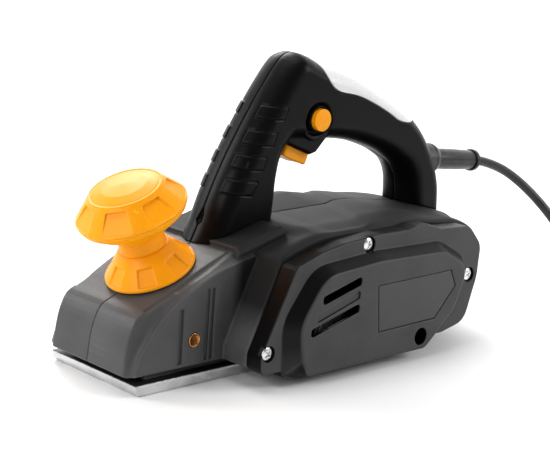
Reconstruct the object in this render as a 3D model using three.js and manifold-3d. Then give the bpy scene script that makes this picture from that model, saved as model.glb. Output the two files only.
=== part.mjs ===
// Electric hand planer, 82 mm planing width. Millimetres.
// +X runs from the front knob to the cord, -Y is the belt side, +Z is up, and Z = 0 is the sole.
import * as THREE from 'three';
import { mergeVertices } from 'three/addons/utils/BufferGeometryUtils.js';
import Module from 'manifold-3d';

const wasm = await Module();
wasm.setup();

// ---------- driving dimensions ----------
const GAP = 0.3;
const SHOE_HALF = 41;
const SHOE_THICK = 7.3;
const SHOE_FRONT = -152;
const SHOE_REAR = 118;
const HOUSING_BOTTOM = 12.4;
const WALL = 3;
const BODY_LEFT = -61.7;
const BODY_RIGHT = 52;
const COVER_FACE = -75;
const BULGE_FACE = -83;
const HANDLE_HALF = 18;
const KNOB_TILT = 23.6 * Math.PI / 180;
const KNOB_FOOT = new THREE.Vector3(-110.8, 0, 63.5);
const KNOB_AXIS = new THREE.Vector3(-Math.sin(KNOB_TILT), 0, Math.cos(KNOB_TILT));
const SHOE_LIFT = 2.2;
const DRUM = { x: -24, z: 28, cut: 27.85, body: 26, half: 40.8 };
const MOTOR = { x: 54, z: 50, stator: 30, armature: 17 };
const DRUM_PULLEY = 15.5;
const MOTOR_PULLEY = 9;
const BELT = 2.4;
const CHIP = { x: -44, z: 56, inner: 15, outer: 17.5 };
const LOCK = { x: 9, z: 150, radius: 7.2 };
const TRIGGER_PUSH = new THREE.Vector3(0.364, 0, 0.931);
const CORD_RADIUS = 3.5;
const CORD_START = new THREE.Vector3(128.5, 0, 112.3);
const CORD_AXIS = new THREE.Vector3(0.9945, 0, -0.1045);
const RELIEF_START = 17.5;
const RELIEF_END = 63.5;
const COIL = { x: 378, y: -45.3, radius: 38.5, halfWidth: 14, height: 15 };
const PLUG = { x: 450, y: -36, z: 17.8 };
const COVER_SCREWS = [[-78.8, 23.6], [2.6, 81.1], [104.2, 48.2]];
const HANDLE_SCREWS = [[-8, 176], [-42, 118], [66, 148], [122, 96]];

// ---------- materials ----------
const finish = (color, roughness, metalness) => ({ color, roughness, metalness });
const BLACK = finish(0x2b2b2c, 0.62, 0);
const DARK = finish(0x1d1d1e, 0.5, 0);
const WHITE = finish(0xf1f1ef, 0.35, 0);
const YELLOW = finish(0xffa81e, 0.42, 0);
const CAST = finish(0xb9bcc0, 0.35, 1);
const STEEL = finish(0xa9abae, 0.3, 1);
const BRASS = finish(0xb58a45, 0.35, 1);
const COPPER = finish(0xb0602c, 0.4, 1);
const CARBON = finish(0x222224, 0.7, 0);
const RUBBER = finish(0x18181a, 0.75, 0);

// ---------- solids ----------
// A closed geometry as a solid whose faces point outwards.
function solid(geometry) {
  const plain = geometry.index ? geometry.toNonIndexed() : geometry.clone();
  plain.deleteAttribute('normal');
  plain.deleteAttribute('uv');
  const merged = mergeVertices(plain, 1e-4);
  const triVerts = new Uint32Array(merged.index.array);
  const p = merged.attributes.position;
  const corner = [new THREE.Vector3(), new THREE.Vector3(), new THREE.Vector3()];
  let volume = 0;
  for (let i = 0; i < triVerts.length; i += 3) {
    corner.forEach((v, k) => v.fromBufferAttribute(p, triVerts[i + k]));
    volume += corner[0].dot(corner[1].clone().cross(corner[2]));
  }
  if (volume < 0) {
    for (let i = 0; i < triVerts.length; i += 3) {
      [triVerts[i + 1], triVerts[i + 2]] = [triVerts[i + 2], triVerts[i + 1]];
    }
  }
  return new wasm.Manifold(new wasm.Mesh({ numProp: 3, vertProperties: p.array, triVerts }));
}

const join = (...parts) => parts.reduce((a, b) => a.add(b));
const cut = (body, ...tools) => tools.reduce((a, b) => a.subtract(b), body);

function box(x0, x1, y0, y1, z0, z1) {
  const geometry = new THREE.BoxGeometry(x1 - x0, y1 - y0, z1 - z0);
  return solid(geometry.translate((x0 + x1) / 2, (y0 + y1) / 2, (z0 + z1) / 2));
}

// A round bar along Y.
function barY(radius, y0, y1, x, z, segments = 24, radiusEnd = radius) {
  const geometry = new THREE.CylinderGeometry(radiusEnd, radius, y1 - y0, segments);
  return solid(geometry.translate(x, (y0 + y1) / 2, z));
}

// An outline in the X-Z plane, extruded along Y; round softens both of its side edges.
function slabY(points, y0, y1, round = 0, inset = 0, across = round) {
  const shape = new THREE.Shape(points.map(([x, z]) => new THREE.Vector2(x, z)));
  const geometry = new THREE.ExtrudeGeometry(shape, {
    depth: y1 - y0 - 2 * across,
    bevelEnabled: round > 0,
    bevelThickness: across,
    bevelSize: round,
    bevelOffset: -round - inset,
    bevelSegments: 3,
    curveSegments: 1,
  });
  return solid(geometry.rotateX(Math.PI / 2).translate(0, y1 - across, 0));
}

// An outline in the X-Y plane, extruded along Z.
function slabZ(points, z0, z1) {
  const shape = new THREE.Shape(points.map(([x, y]) => new THREE.Vector2(x, y)));
  const geometry = new THREE.ExtrudeGeometry(shape, { depth: z1 - z0, bevelEnabled: false });
  return solid(geometry.translate(0, 0, z0));
}

// A profile of [radius, height] points turned about the line from origin along axis.
function turned(profile, origin, axis, segments = 32) {
  const points = profile.map(([r, h]) => new THREE.Vector2(r, h));
  const geometry = new THREE.LatheGeometry(points, segments);
  const turn = new THREE.Quaternion().setFromUnitVectors(new THREE.Vector3(0, 1, 0), axis);
  return solid(geometry.applyQuaternion(turn).translate(origin.x, origin.y, origin.z));
}

// A plain ring about an axis along Y.
function ringY(inner, outer, y0, y1, x, z, segments = 24) {
  const profile = [[inner, y0], [outer, y0], [outer, y1], [inner, y1], [inner, y0]];
  return turned(profile, new THREE.Vector3(x, 0, z), new THREE.Vector3(0, 1, 0), segments);
}

// A polygon of [x, z, radius] corners as points, with each corner rounded to its radius.
function rounded(corners, steps = 4) {
  const points = [];
  corners.forEach(([x, z, r], i) => {
    if (!r) {
      points.push([x, z]);
      return;
    }
    const before = corners[(i + corners.length - 1) % corners.length];
    const after = corners[(i + 1) % corners.length];
    const corner = new THREE.Vector2(x, z);
    const a = new THREE.Vector2(before[0] - x, before[1] - z).normalize();
    const b = new THREE.Vector2(after[0] - x, after[1] - z).normalize();
    const half = Math.acos(a.dot(b)) / 2;
    const start = corner.clone().addScaledVector(a, r / Math.tan(half));
    const end = corner.clone().addScaledVector(b, r / Math.tan(half));
    const arc = new THREE.QuadraticBezierCurve(start, corner, end);
    arc.getPoints(steps).forEach((p) => points.push([p.x, p.y]));
  });
  return points;
}

// A smooth curve through hand-chosen points.
function smooth(points, steps) {
  const curve = new THREE.SplineCurve(points.map(([x, z]) => new THREE.Vector2(x, z)));
  return curve.getPoints(steps).map((p) => [p.x, p.y]);
}

// A skin over sections that all have the same number of points, closed at both ends.
function loft(sections) {
  const count = sections[0].length;
  const positions = sections.flat(2);
  const index = [];
  for (let s = 0; s + 1 < sections.length; s += 1) {
    for (let i = 0; i < count; i += 1) {
      const a = s * count + i;
      const b = s * count + (i + 1) % count;
      index.push(a, b, b + count, a, b + count, a + count);
    }
  }
  [0, sections.length - 1].forEach((s) => {
    const flat = flatSection(sections[s]);
    const turnedOver = (s === 0) === (THREE.ShapeUtils.area(flat) > 0);
    THREE.ShapeUtils.triangulateShape(flat, []).forEach(([a, b, c]) => {
      const tri = turnedOver ? [a, c, b] : [a, b, c];
      index.push(...tri.map((k) => k + s * count));
    });
  });
  const geometry = new THREE.BufferGeometry();
  geometry.setAttribute('position', new THREE.Float32BufferAttribute(positions, 3));
  geometry.setIndex(index);
  return solid(geometry);
}

// A planar section's points, seen along the axis in which they don't differ.
function flatSection(points) {
  const spread = [0, 1, 2].map((k) => {
    const values = points.map((p) => p[k]);
    return Math.max(...values) - Math.min(...values);
  });
  const across = spread.indexOf(Math.min(...spread));
  const [u, v] = [[1, 2], [2, 0], [0, 1]][across];
  return points.map((p) => new THREE.Vector2(p[u], p[v]));
}

// ---------- the assembly ----------
const group = new THREE.Group();

function addPart(name, body, { color, roughness, metalness }) {
  const m = body.getMesh();
  const vertices = new Float32Array(m.numVert * 3);
  for (let i = 0; i < m.numVert; i += 1) {
    vertices.set(m.vertProperties.subarray(i * m.numProp, i * m.numProp + 3), i * 3);
  }
  const geometry = new THREE.BufferGeometry();
  geometry.setAttribute('position', new THREE.BufferAttribute(vertices, 3));
  geometry.setIndex(new THREE.BufferAttribute(new Uint32Array(m.triVerts), 1));
  const material = new THREE.MeshStandardMaterial({ color, roughness, metalness });
  const mesh = new THREE.Mesh(geometry, material);
  mesh.name = name;
  group.add(mesh);
}

const onCordAxis = (h) => CORD_START.clone().addScaledVector(CORD_AXIS, h);

// ---------- shoes ----------
function frontShoe() {
  const plate = slabY(rounded([
    [SHOE_FRONT, 0], [-20, 0], [-20, SHOE_THICK], [SHOE_FRONT + 1, SHOE_THICK, 0],
  ]), -SHOE_HALF, SHOE_HALF);
  const boss = turned([[0, -64], [13, -64], [12, -32], [0, -32]], KNOB_FOOT, KNOB_AXIS, 24);
  const thread = turned([[0, -57], [4.4, -57], [4.4, -20], [0, -20]], KNOB_FOOT, KNOB_AXIS, 20);
  const above = box(-160, -20, -60, 60, 0, 60);
  const sides = [-1, 1].map((s) => box(-141, -62, s * 33 - 1.5, s * 33 + 1.5, 6, 14));
  const atRest = barY(29.4, -50, 50, DRUM.x, DRUM.z, 48);
  const lowered = barY(29.4, -50, 50, DRUM.x - SHOE_LIFT * KNOB_AXIS.x, DRUM.z - 2, 48);
  return cut(join(plate, boss.intersect(above), ...sides), thread, atRest, lowered);
}

function rearShoe() {
  const plate = box(-20, SHOE_REAR, -SHOE_HALF, SHOE_HALF, 0, SHOE_THICK);
  const deck = box(-4, 108, -37.2, 37.2, 6, HOUSING_BOTTOM - GAP);
  const block = box(8, 20, -37.2, 37.2, 6, 22);
  const bar = box(8, 20, -51, 48.6, 15.8, 22);
  const above = box(-60, 30, -60, 60, 15.8, 60);
  const bracket = (y0, y1) => join(
    barY(18, y0, y1, DRUM.x, DRUM.z),
    box(DRUM.x, 20, y0, y1, 15.8, 34),
  ).intersect(above);
  const bores = barY(13.4, -60, 60, DRUM.x, DRUM.z);
  return cut(
    join(plate, deck, block, bar, bracket(-51, -43.3), bracket(43.3, 48.6)),
    barY(29.4, -43, 43, DRUM.x, DRUM.z, 48),
    bores.intersect(box(-60, 6, -60, 60, 0, 60)),
  );
}

// ---------- housing ----------
const DECK_SLOPE = Math.tan(KNOB_TILT);
const deckZ = (x) => 62 + DECK_SLOPE * (x - KNOB_FOOT.x);

// The tall middle of the nose, and the wider, lower part at its sides.
function noseMiddle() {
  const front = smooth([
    [-156, HOUSING_BOTTOM], [-155.2, 24], [-152.5, 36], [-147.5, 45.5], [-139, deckZ(-139)],
  ], 8);
  const outline = [...front, [-78, deckZ(-78)], [-60, deckZ(-78)], [-60, HOUSING_BOTTOM]];
  return slabY(outline, -35, 35, 2.5);
}

function noseSides() {
  const top = smooth([[-153, HOUSING_BOTTOM], [-149.4, 23.2], [-142.6, 34.2], [-135.7, 42.8],
    [-125, 51.6], [-106.4, 62], [-86.4, 70], [-62, 75]], 12);
  return slabY([...top, [-60, HOUSING_BOTTOM]], -SHOE_HALF, SHOE_HALF, 1);
}

// Height of the body's ridge, and how far its left shoulder has dropped, at each station.
const RIDGE = [
  [-84, 76, 1], [-62, 88, 1], [-44, 96, 1], [-22, 100.5, 1], [18, 100.2, 1], [44, 96.8, 0.6],
  [70, 93, 0.25], [96, 89, 0.15], [118, 84.5, 0.15], [134, 79.5, 0.2], [146, 71, 0.3],
];

function bodySection(x, top, drop, inset) {
  const left = BODY_LEFT + inset;
  const right = BODY_RIGHT - inset;
  const z = top - inset;
  const low = HOUSING_BOTTOM + inset;
  return [
    [x, left, low], [x, left, z - 11 * drop - 1], [x, left + 4, z - 7.5 * drop],
    [x, left + 12, z - 4.5 * drop], [x, left + 22, z - 2 * drop], [x, left + 34, z - 0.6],
    [x, 0, z], [x, right - 24, z - 0.7], [x, right - 13, z - 3], [x, right - 6, z - 8],
    [x, right - 2, z - 15], [x, right, z - 24], [x, right, low],
  ];
}

function bodyBlock(inset) {
  const skin = loft(RIDGE.map(([x, top, drop]) => bodySection(x, top, drop, inset)));
  const plan = slabZ(rounded([
    [-90, -70], [112 - inset, -70, 20], [144 - inset, -34, 22],
    [146 - inset, 0, 0], [146 - inset, 56, 16], [-90, 56],
  ]), 0, 120);
  const side = slabY(rounded([
    [-84 + inset, HOUSING_BOTTOM], [-84 + inset, 22, 6], [-59 + inset, 78], [-59 + inset, 120],
    [146 - inset, 120], [146 - inset, 40, 20], [124 - inset, HOUSING_BOTTOM, 12],
  ]), -90, 90);
  return skin.intersect(plan).intersect(side);
}

function collar() {
  const side = [[-75, 72.5], [-75, 79.4], [-36.5, 89.3], [-34, 82.8], [-34, 72.5]];
  return slabY(side, -38.5, 38.5, 1.5);
}

// The hollow under the nose's deck, open at the bottom for the front shoe's post.
function nosePocket() {
  const deck = (x) => [x, deckZ(x) - WALL * 1.1];
  const rear = [[-60, deckZ(-78) - 3.3], [-60, 0]];
  const middle = [[-152, 0], [-151, 30], [-144.5, 43.5], deck(-138), deck(-78), ...rear];
  const sides = [[-148, 0], [-145, 22], [-131, 41.5], [-104, 58.5], [-60, 70.5], [-60, 0]];
  return join(slabY(middle, -32, 32), slabY(sides, -38, 38));
}

// Grooves in both flat sides of the nose.
function sideGrooves() {
  const groove = (x0, x1, top) => box(x0, x1, -42, -40, 10, top);
  return join(groove(-120.3, -117, 48.6), groove(-99, -97.5, 58.6), groove(-95.6, -94.1, 58.6));
}

function housing() {
  const outer = join(noseMiddle(), noseSides(), bodyBlock(0), collar());
  const boss = turned([[0, -14], [10, -14], [10, -3], [0, -3]], KNOB_FOOT, KNOB_AXIS, 20);
  const shaft = turned([[0, -20], [4.5, -20], [4.5, 10], [0, 10]], KNOB_FOOT, KNOB_AXIS, 20);
  const insert = barY(6.5, -38.5, -33, -108, 28.2, 20);
  const fanSeat = barY(14, -59.5, -43.2, MOTOR.x, MOTOR.z);
  const rearSeat = barY(12.5, 43.5, 49.5, MOTOR.x, MOTOR.z);
  const shell = join(cut(outer, nosePocket(), bodyBlock(WALL)), boss, insert, fanSeat, rearSeat);
  return cut(
    shell,
    shaft,
    barY(4.7, -43, -32, -108, 28.2, 20),
    barY(11.3, -51, -40, MOTOR.x, MOTOR.z),
    barY(7, -65, -50, MOTOR.x, MOTOR.z),
    barY(9.8, 40, 48, MOTOR.x, MOTOR.z),
    barY(15, -65, -55, DRUM.x, DRUM.z),
    box(-66, 6, -52, 48.8, 0, 40),
    box(-100, 110, -37.5, 37.5, 0, 18),
    barY(CHIP.inner + 0.2, 40, 60, CHIP.x, CHIP.z),
    sideGrooves(),
    ...COVER_SCREWS.map(([x, z]) => barY(1.9, -70, -50, x, z, 12)),
    ...ventSlots(),
  );
}

// Cooling slots in the right wall, beside the commutator.
function ventSlots() {
  return [-24, -16, -8, 8, 16, 24].map((dz) => box(
    MOTOR.x - 16, MOTOR.x + 16, 46, 56, MOTOR.z + dz - 1.6, MOTOR.z + dz + 1.6,
  ));
}

// ---------- handle ----------
const HANDLE_TOP = smooth([
  [-80.5, 75], [-73.6, 88.9], [-65.5, 108.4], [-53.5, 131.6], [-35.5, 160.2], [-17, 184.6],
  [-7.5, 191.4], [1.5, 190.6], [13.9, 185.6], [27, 182.6], [43.5, 177.7], [62.8, 169.2],
  [85.1, 158], [102, 148.6], [114, 139.5], [125, 127], [134.5, 111], [140, 96], [142, 78],
], 32);
const HANDLE_REAR_INSIDE = smooth([
  [103.5, 74], [103.2, 88], [100.5, 101], [93, 109], [84, 114.5], [71.9, 121],
  [55.6, 127], [40.8, 131.2], [27.5, 133.8], [14, 135],
], 12);
const COLUMN_INSIDE = smooth([[-13.5, 136], [-19.5, 128.5], [-22.8, 115], [-23.8, 100], [-25.2, 80]], 5);

// The whole grip with both feet run down to the sole; the housing's own shape cuts them off later.
function handleBlock(inset) {
  const outline = [
    [-118, 0], ...HANDLE_TOP, [143, 0], [104, 0], ...HANDLE_REAR_INSIDE, ...COLUMN_INSIDE, [-30, 0],
  ];
  return slabY(outline, -HANDLE_HALF + inset, HANDLE_HALF - inset, 9 - inset, inset, 12 - inset);
}

function insertRegion(grow) {
  const edge = smooth([
    [9 - grow, 200], [10.5 - grow, 187], [15.5 - grow, 175 - grow], [25, 167.6 - grow],
    [42.9, 163.8 - grow], [58.9, 158 - grow], [75.7, 150.2 - grow], [88, 143.9 - grow],
    [104 + grow, 142.6 - grow], [113 + grow, 150],
  ], 18);
  return slabY([...edge, [120, 200]], -40, 40);
}

// Grip pads on the column: low blocks that follow its lean.
function gripPads() {
  const pads = [0, 1, 2, 3].map((i) => {
    const x = -29.5 - 8.6 * i;
    const z = 154 - 15.1 * i;
    const outline = [[x - 10, z - 2.6], [x + 9, z - 4.6], [x + 13, z + 3], [x - 5.5, z + 5.2]];
    return slabY(outline, -HANDLE_HALF - 0.7, HANDLE_HALF + 0.7);
  });
  return join(...pads);
}

function triggerShape(up, down, grow) {
  const n = TRIGGER_PUSH;
  const rear = [11 + grow, 125.2];
  const front = [-10 - grow, 133.4];
  const at = ([x, z], h) => [x + n.x * h, z + n.z * h];
  return [at(front, up), at(front, -down), at([-1, 129.9], -down - 0.6), at(rear, -down), at(rear, up)];
}

function handle() {
  const screwPosts = HANDLE_SCREWS.map(([x, z]) => barY(5, -15.5, 15.5, x, z, 12));
  const boss = slabY(
    rounded([[-17, 146], [-15, 135.2], [8, 126, 1.5], [13.5, 127.5, 2], [24, 138], [22, 146]]),
    -13, 13,
  );
  const lockRing = barY(13, -16, -11, LOCK.x, LOCK.z);
  const bowl = barY(11.5, -18.2, -13.5, LOCK.x, LOCK.z, 24, 8);
  const shell = cut(handleBlock(0), handleBlock(3.4));
  const glandHole = turned([[0, -1], [11.3, -1], [11.3, 30], [0, 30]], CORD_START, CORD_AXIS, 24);
  const built = cut(
    join(shell, boss, gripPads(), lockRing, ...screwPosts),
    insertRegion(GAP),
    bowl,
    barY(LOCK.radius + 0.4, -20, -8, LOCK.x, LOCK.z),
    slabY(triggerShape(14, 20, 0.5), -9, 9),
    glandHole,
    ...HANDLE_SCREWS.map(([x, z]) => barY(2.1, -9, 20, x, z, 10)),
    ...HANDLE_SCREWS.map(([x, z]) => barY(4.2, 12.6, 20, x, z, 12)),
  );
  const footprint = join(noseMiddle(), bodyBlock(0), collar());
  const raised = solidMoved(footprint, 0, 0, GAP);
  return cut(built, footprint, raised);
}

// A copy of a solid moved by a step.
function solidMoved(body, x, y, z) {
  const m = body.getMesh();
  const geometry = new THREE.BufferGeometry();
  geometry.setAttribute('position', new THREE.BufferAttribute(new Float32Array(m.vertProperties), 3));
  geometry.setIndex(new THREE.BufferAttribute(new Uint32Array(m.triVerts), 1));
  return solid(geometry.translate(x, y, z));
}

function largest(body) {
  return body.decompose().reduce((a, b) => (a.volume() > b.volume() ? a : b));
}

const leftSide = box(-300, 300, -200, -GAP / 2, -10, 300);
const rightSide = box(-300, 300, GAP / 2, 200, -10, 300);

// ---------- belt cover ----------
function coverOutline(inset) {
  return rounded([
    [-84.5 + inset, 10.8 + inset, 5], [-84.7 + inset, 22, 8], [-59.6 + inset, 74.5 - inset, 5],
    [-39, 81.2 - inset, 20], [-19.4, 84.6 - inset, 30], [10.2, 86.6 - inset, 30], [38, 86.4 - inset, 8],
    [46, 88.4 - inset, 5], [57, 88.4 - inset, 6], [72, 83.6 - inset, 8], [101 - inset, 82 - inset, 9],
    [114.4 - inset, 68 - inset, 12], [113.4 - inset, 46, 30], [104 - inset, 16 + inset, 14],
    [82, 11.4 + inset, 10], [60, 11 + inset, 0],
  ], 3);
}

// The belt cover's bulge between its foot on the plate and its smaller outer face.
function bulge(inset) {
  const foot = rounded([
    [-68.2 + inset, 7 + inset, 4], [-69.6 + inset, 42, 26], [-46 + inset, 73.4 - inset, 26],
    [8, 77 - inset, 60], [70 - inset, 76 - inset, 20], [100 - inset, 60 - inset, 14],
    [90 - inset, 28, 20], [64 - inset, 7.4 + inset, 10],
  ]);
  const face = rounded([
    [-54 + inset, 6.8 + inset, 5], [-61 + inset, 40, 24], [-42 + inset, 68 - inset, 22],
    [8, 71.6 - inset, 60], [68 - inset, 70.4 - inset, 14], [93 - inset, 56 - inset, 12],
    [82 - inset, 30, 20], [56 - inset, 6.8 + inset, 8],
  ]);
  const at = (points, y) => points.map(([x, z]) => [x, y, z]);
  const deep = inset ? BODY_LEFT + 1 : BODY_LEFT - GAP;
  return loft([at(foot, deep), at(foot, COVER_FACE), at(face, BULGE_FACE + inset * 0.8)]);
}

function beltCover() {
  const rim = cut(
    slabY(coverOutline(0), COVER_FACE, BODY_LEFT - GAP),
    slabY(coverOutline(2.4), COVER_FACE + 2.6, BODY_LEFT + 1),
  );
  const posts = COVER_SCREWS.map(([x, z]) => barY(6.6, COVER_FACE + 1, BODY_LEFT - GAP, x, z, 14));
  const inside = slabY(coverOutline(0.2), COVER_FACE, BODY_LEFT - GAP);
  const slot = (x0, z0, x1, z1) => slabY(
    rounded([[x0, z0 - 2.6, 2.4], [x1, z1 - 2.6], [x1, z1 + 2.6], [x0, z0 + 2.6, 2.4]], 3), -90, -76,
  );
  const label = [[5, 56.2], [75.4, 57.4], [81.2, 46], [62.6, 26.2], [8.6, 25.2]];
  return cut(
    join(rim, posts.reduce((a, b) => a.add(b)).intersect(inside), bulge(0)),
    bulge(2.4),
    slot(-44, 53, -11, 61.6),
    slot(-52, 33.7, -11, 44.4),
    slabY([[-47.5, 40.6], [-11.5, 50.6], [-11.5, 55], [-48.5, 45]], -90, BULGE_FACE + 0.8),
    slabY(label, -90, BULGE_FACE + 1),
    barY(5.7, -90, -60, 50.4, 15.8, 20),
    ...COVER_SCREWS.map(([x, z]) => barY(5, -90, COVER_FACE + 3.2, x, z, 16)),
    ...COVER_SCREWS.map(([x, z]) => barY(2.3, -90, -50, x, z, 8)),
  );
}

// The outline of a belt round two pulleys: the tangent lines and arcs at a distance from each centre.
function beltOutline(grow) {
  const r1 = DRUM_PULLEY + grow;
  const r2 = MOTOR_PULLEY + grow;
  const dx = MOTOR.x - DRUM.x;
  const dz = MOTOR.z - DRUM.z;
  const lie = Math.atan2(dz, dx);
  const spread = Math.acos((r1 - r2) / Math.hypot(dx, dz));
  const arc = (c, r, a0, a1, n) => Array.from({ length: n + 1 }, (_, i) => {
    const a = a0 + (a1 - a0) * i / n;
    return [c.x + r * Math.cos(a), c.z + r * Math.sin(a)];
  });
  return [
    ...arc(DRUM, r1, lie + spread, lie - spread + 2 * Math.PI, 24),
    ...arc(MOTOR, r2, lie - spread, lie + spread, 12),
  ];
}

// ---------- drum ----------
function cutterDrum() {
  const slot = (s) => box(
    DRUM.x + Math.min(s * 15.5, s * 30), DRUM.x + Math.max(s * 15.5, s * 30),
    -50, 50, DRUM.z - s * 3.6 - 3.6, DRUM.z - s * 3.6 + 3.6,
  );
  const shaft = barY(6, -77, 48.4, DRUM.x, DRUM.z);
  return join(cut(barY(DRUM.body, -DRUM.half, DRUM.half, DRUM.x, DRUM.z, 40), slot(1), slot(-1)), shaft);
}

function blade(s) {
  const near = DRUM.x + s * 16;
  const edge = DRUM.x + s * DRUM.cut;
  const z = DRUM.z - s * 0.9;
  return box(Math.min(near, edge), Math.max(near, edge), -40.9, 40.9, z - 0.55, z + 0.55);
}

function bladeClamp(s) {
  const near = DRUM.x + s * 16;
  const far = DRUM.x + s * 25.2;
  const z = DRUM.z - s * 4.3;
  return box(Math.min(near, far), Math.max(near, far), -40.4, 40.4, z - 2.3, z + 2.3);
}

// A pulley with fine grooves for a ribbed belt.
function ribbedPulley(radius, bore, c, segments) {
  const groove = (y) => ringY(radius - 1.6, radius + 4, y - 0.7, y + 0.7, c.x, c.z, segments);
  return cut(
    barY(radius, -76, -62.5, c.x, c.z, segments),
    barY(bore, -80, -50, c.x, c.z, 16),
    ...[-72.4, -69.2, -66].map(groove),
  );
}

// ---------- motor ----------
function coolingFan() {
  const blades = Array.from({ length: 9 }, (_, i) => {
    const geometry = new THREE.BoxGeometry(17, 6, 1.2).translate(17, 3, 0);
    geometry.rotateY(i * 2 * Math.PI / 9);
    return solid(geometry.translate(MOTOR.x, -37.9, MOTOR.z));
  });
  const disc = barY(26, -39.5, -37.5, MOTOR.x, MOTOR.z, 32);
  const hub = barY(9, -39.5, -32, MOTOR.x, MOTOR.z);
  return cut(join(disc, hub, ...blades), barY(4.8, -60, 0, MOTOR.x, MOTOR.z));
}

function brushHolder(s) {
  const near = MOTOR.x + s * 13.5;
  const far = MOTOR.x + s * 28;
  const outer = box(Math.min(near, far), Math.max(near, far), 32.4, 42.6, MOTOR.z - 5.2, MOTOR.z + 5.2);
  const hole = box(MOTOR.x - 26 * (s < 0), MOTOR.x + 26 * (s > 0), 34, 41, MOTOR.z - 3.4, MOTOR.z + 3.4);
  return cut(outer, hole);
}

function brush(s) {
  const near = MOTOR.x + s * 11.4;
  const far = MOTOR.x + s * 23;
  return box(Math.min(near, far), Math.max(near, far), 34.4, 40.6, MOTOR.z - 3, MOTOR.z + 3);
}

// ---------- cord ----------
// The free cord: straight out of the strain relief, down in an arc, and along the floor to the coil.
const CORD_ROUTE = [
  [207, 0, 103.9], [222, -1.5, 98.5], [238, -6, 89], [253, -13, 76], [266, -22, 60],
  [277, -32, 42], [287, -42, 25], [298, -53, 11], [311, -65, 4.6], [326, -77, 3.9], [341, -88, 3.9],
];

function cordTube() {
  const start = [-4, 30, RELIEF_END].map(onCordAxis);
  const points = [...start, ...CORD_ROUTE.map((p) => new THREE.Vector3(...p))];
  const path = new THREE.CatmullRomCurve3(points);
  const section = new THREE.Shape();
  section.absarc(0, 0, CORD_RADIUS, 0, 2 * Math.PI);
  return solid(new THREE.ExtrudeGeometry(section, { extrudePath: path, steps: 34, curveSegments: 4 }));
}

function cordCoil() {
  const { radius: r, halfWidth: w, height: h } = COIL;
  const profile = [
    [r - w, 5], [r - w + 4, 0.4], [r + w - 4, 0.4], [r + w, 5],
    [r + w, h - 5], [r + w - 4, h], [r - w + 4, h], [r - w, h - 5], [r - w, 5],
  ];
  return turned(profile, new THREE.Vector3(COIL.x, COIL.y, 0), new THREE.Vector3(0, 0, 1), 28);
}

function cordPlug() {
  const { x, y, z } = PLUG;
  const along = new THREE.Vector3(0, 1, 0);
  const body = turned(
    [[0, -26], [5, -26], [7, -6], [17, 2], [17.5, 12], [16, 16], [0, 16]],
    new THREE.Vector3(x, y, z), along, 20,
  );
  const pin = (dx) => turned(
    [[0, 14], [2.4, 14], [2.4, 34], [1.4, 35], [0, 35]], new THREE.Vector3(x + dx, y, z), along, 10,
  );
  return join(body, pin(-9.5), pin(9.5));
}

// ---------- build ----------
const shell = housing();
addPart('housing_left', largest(shell.intersect(leftSide)), BLACK);
addPart('housing_right', largest(shell.intersect(rightSide)), BLACK);
addPart('front_shoe', frontShoe(), CAST);
addPart('rear_shoe', largest(rearShoe()), CAST);

const grip = handle();
addPart('handle_left', largest(grip.intersect(leftSide)), BLACK);
addPart('handle_right', largest(grip.intersect(rightSide)), BLACK);
addPart('handle_insert', largest(cut(handleBlock(0), handleBlock(3.4)).intersect(insertRegion(0))), WHITE);
HANDLE_SCREWS.forEach(([x, z], i) => {
  const screw = join(barY(3.7, 12.9, 15.2, x, z, 12), barY(1.7, -8, 13.5, x, z, 8));
  addPart(`handle_screw_${i + 1}`, screw, STEEL);
});

addPart('fence_thread_insert', ringY(3.1, 4.4, -41.2, -33.5, -108, 28.2, 20), BRASS);
addPart('belt_cover', largest(beltCover()), BLACK);
addPart('label_plate', slabY(
  [[5.6, 55.7], [74.9, 56.9], [80.6, 46.1], [62.4, 26.7], [9.1, 25.7]], BULGE_FACE + 0.1, BULGE_FACE + 0.7,
), DARK);
COVER_SCREWS.forEach(([x, z], i) => {
  const head = cut(
    barY(4.2, COVER_FACE + 0.6, COVER_FACE + 2.9, x, z, 14),
    box(x - 2.6, x + 2.6, -90, COVER_FACE + 1.8, z - 0.6, z + 0.6),
    box(x - 0.6, x + 0.6, -90, COVER_FACE + 1.8, z - 2.6, z + 2.6),
  );
  addPart(`cover_screw_${i + 1}`, join(head, barY(1.6, COVER_FACE + 2.5, -53, x, z, 8)), STEEL);
});

addPart('knob_base', turned([
  [0, 31], [4.3, 31], [4.3, 0], [28.4, 0], [28.4, 1.6], [16.4, 16], [14.6, 18], [14.2, 24.5],
  [17, 28.4], [26, 33], [32.6, 38], [34.6, 41.8], [0, 41.8],
], KNOB_FOOT, KNOB_AXIS, 30), YELLOW);
addPart('knob_cap', turned([
  [0, 42.1], [34.6, 42.1], [34.4, 43.4], [23.6, 55.8], [22.2, 56.4], [14, 58.6], [0, 59.8],
], KNOB_FOOT, KNOB_AXIS, 30), YELLOW);
addPart('knob_dial_ring', turned([
  [5, -1.3], [27.2, -1.3], [27.2, -0.3], [5, -0.3], [5, -1.3],
], KNOB_FOOT, KNOB_AXIS, 24), DARK);
addPart('depth_spindle', turned([
  [0, -54], [4, -54], [4, 30.6], [0, 30.6],
], KNOB_FOOT, KNOB_AXIS, 20), STEEL);
addPart('shoe_spring', turned([
  [6, -31.6], [9, -31.6], [9, -14.4], [6, -14.4], [6, -31.6],
], KNOB_FOOT, KNOB_AXIS, 20), STEEL);

addPart('trigger', slabY(triggerShape(6, 7.6, 0), -8.4, 8.4, 0.8), YELLOW);
addPart('switch_body', box(-12, 14, -7, 10, 148, 162), DARK);
addPart('lock_off_button', join(
  barY(LOCK.radius, -21.2, -16.5, LOCK.x, LOCK.z), barY(3.2, -17, -11.6, LOCK.x, LOCK.z, 12),
), YELLOW);

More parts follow.
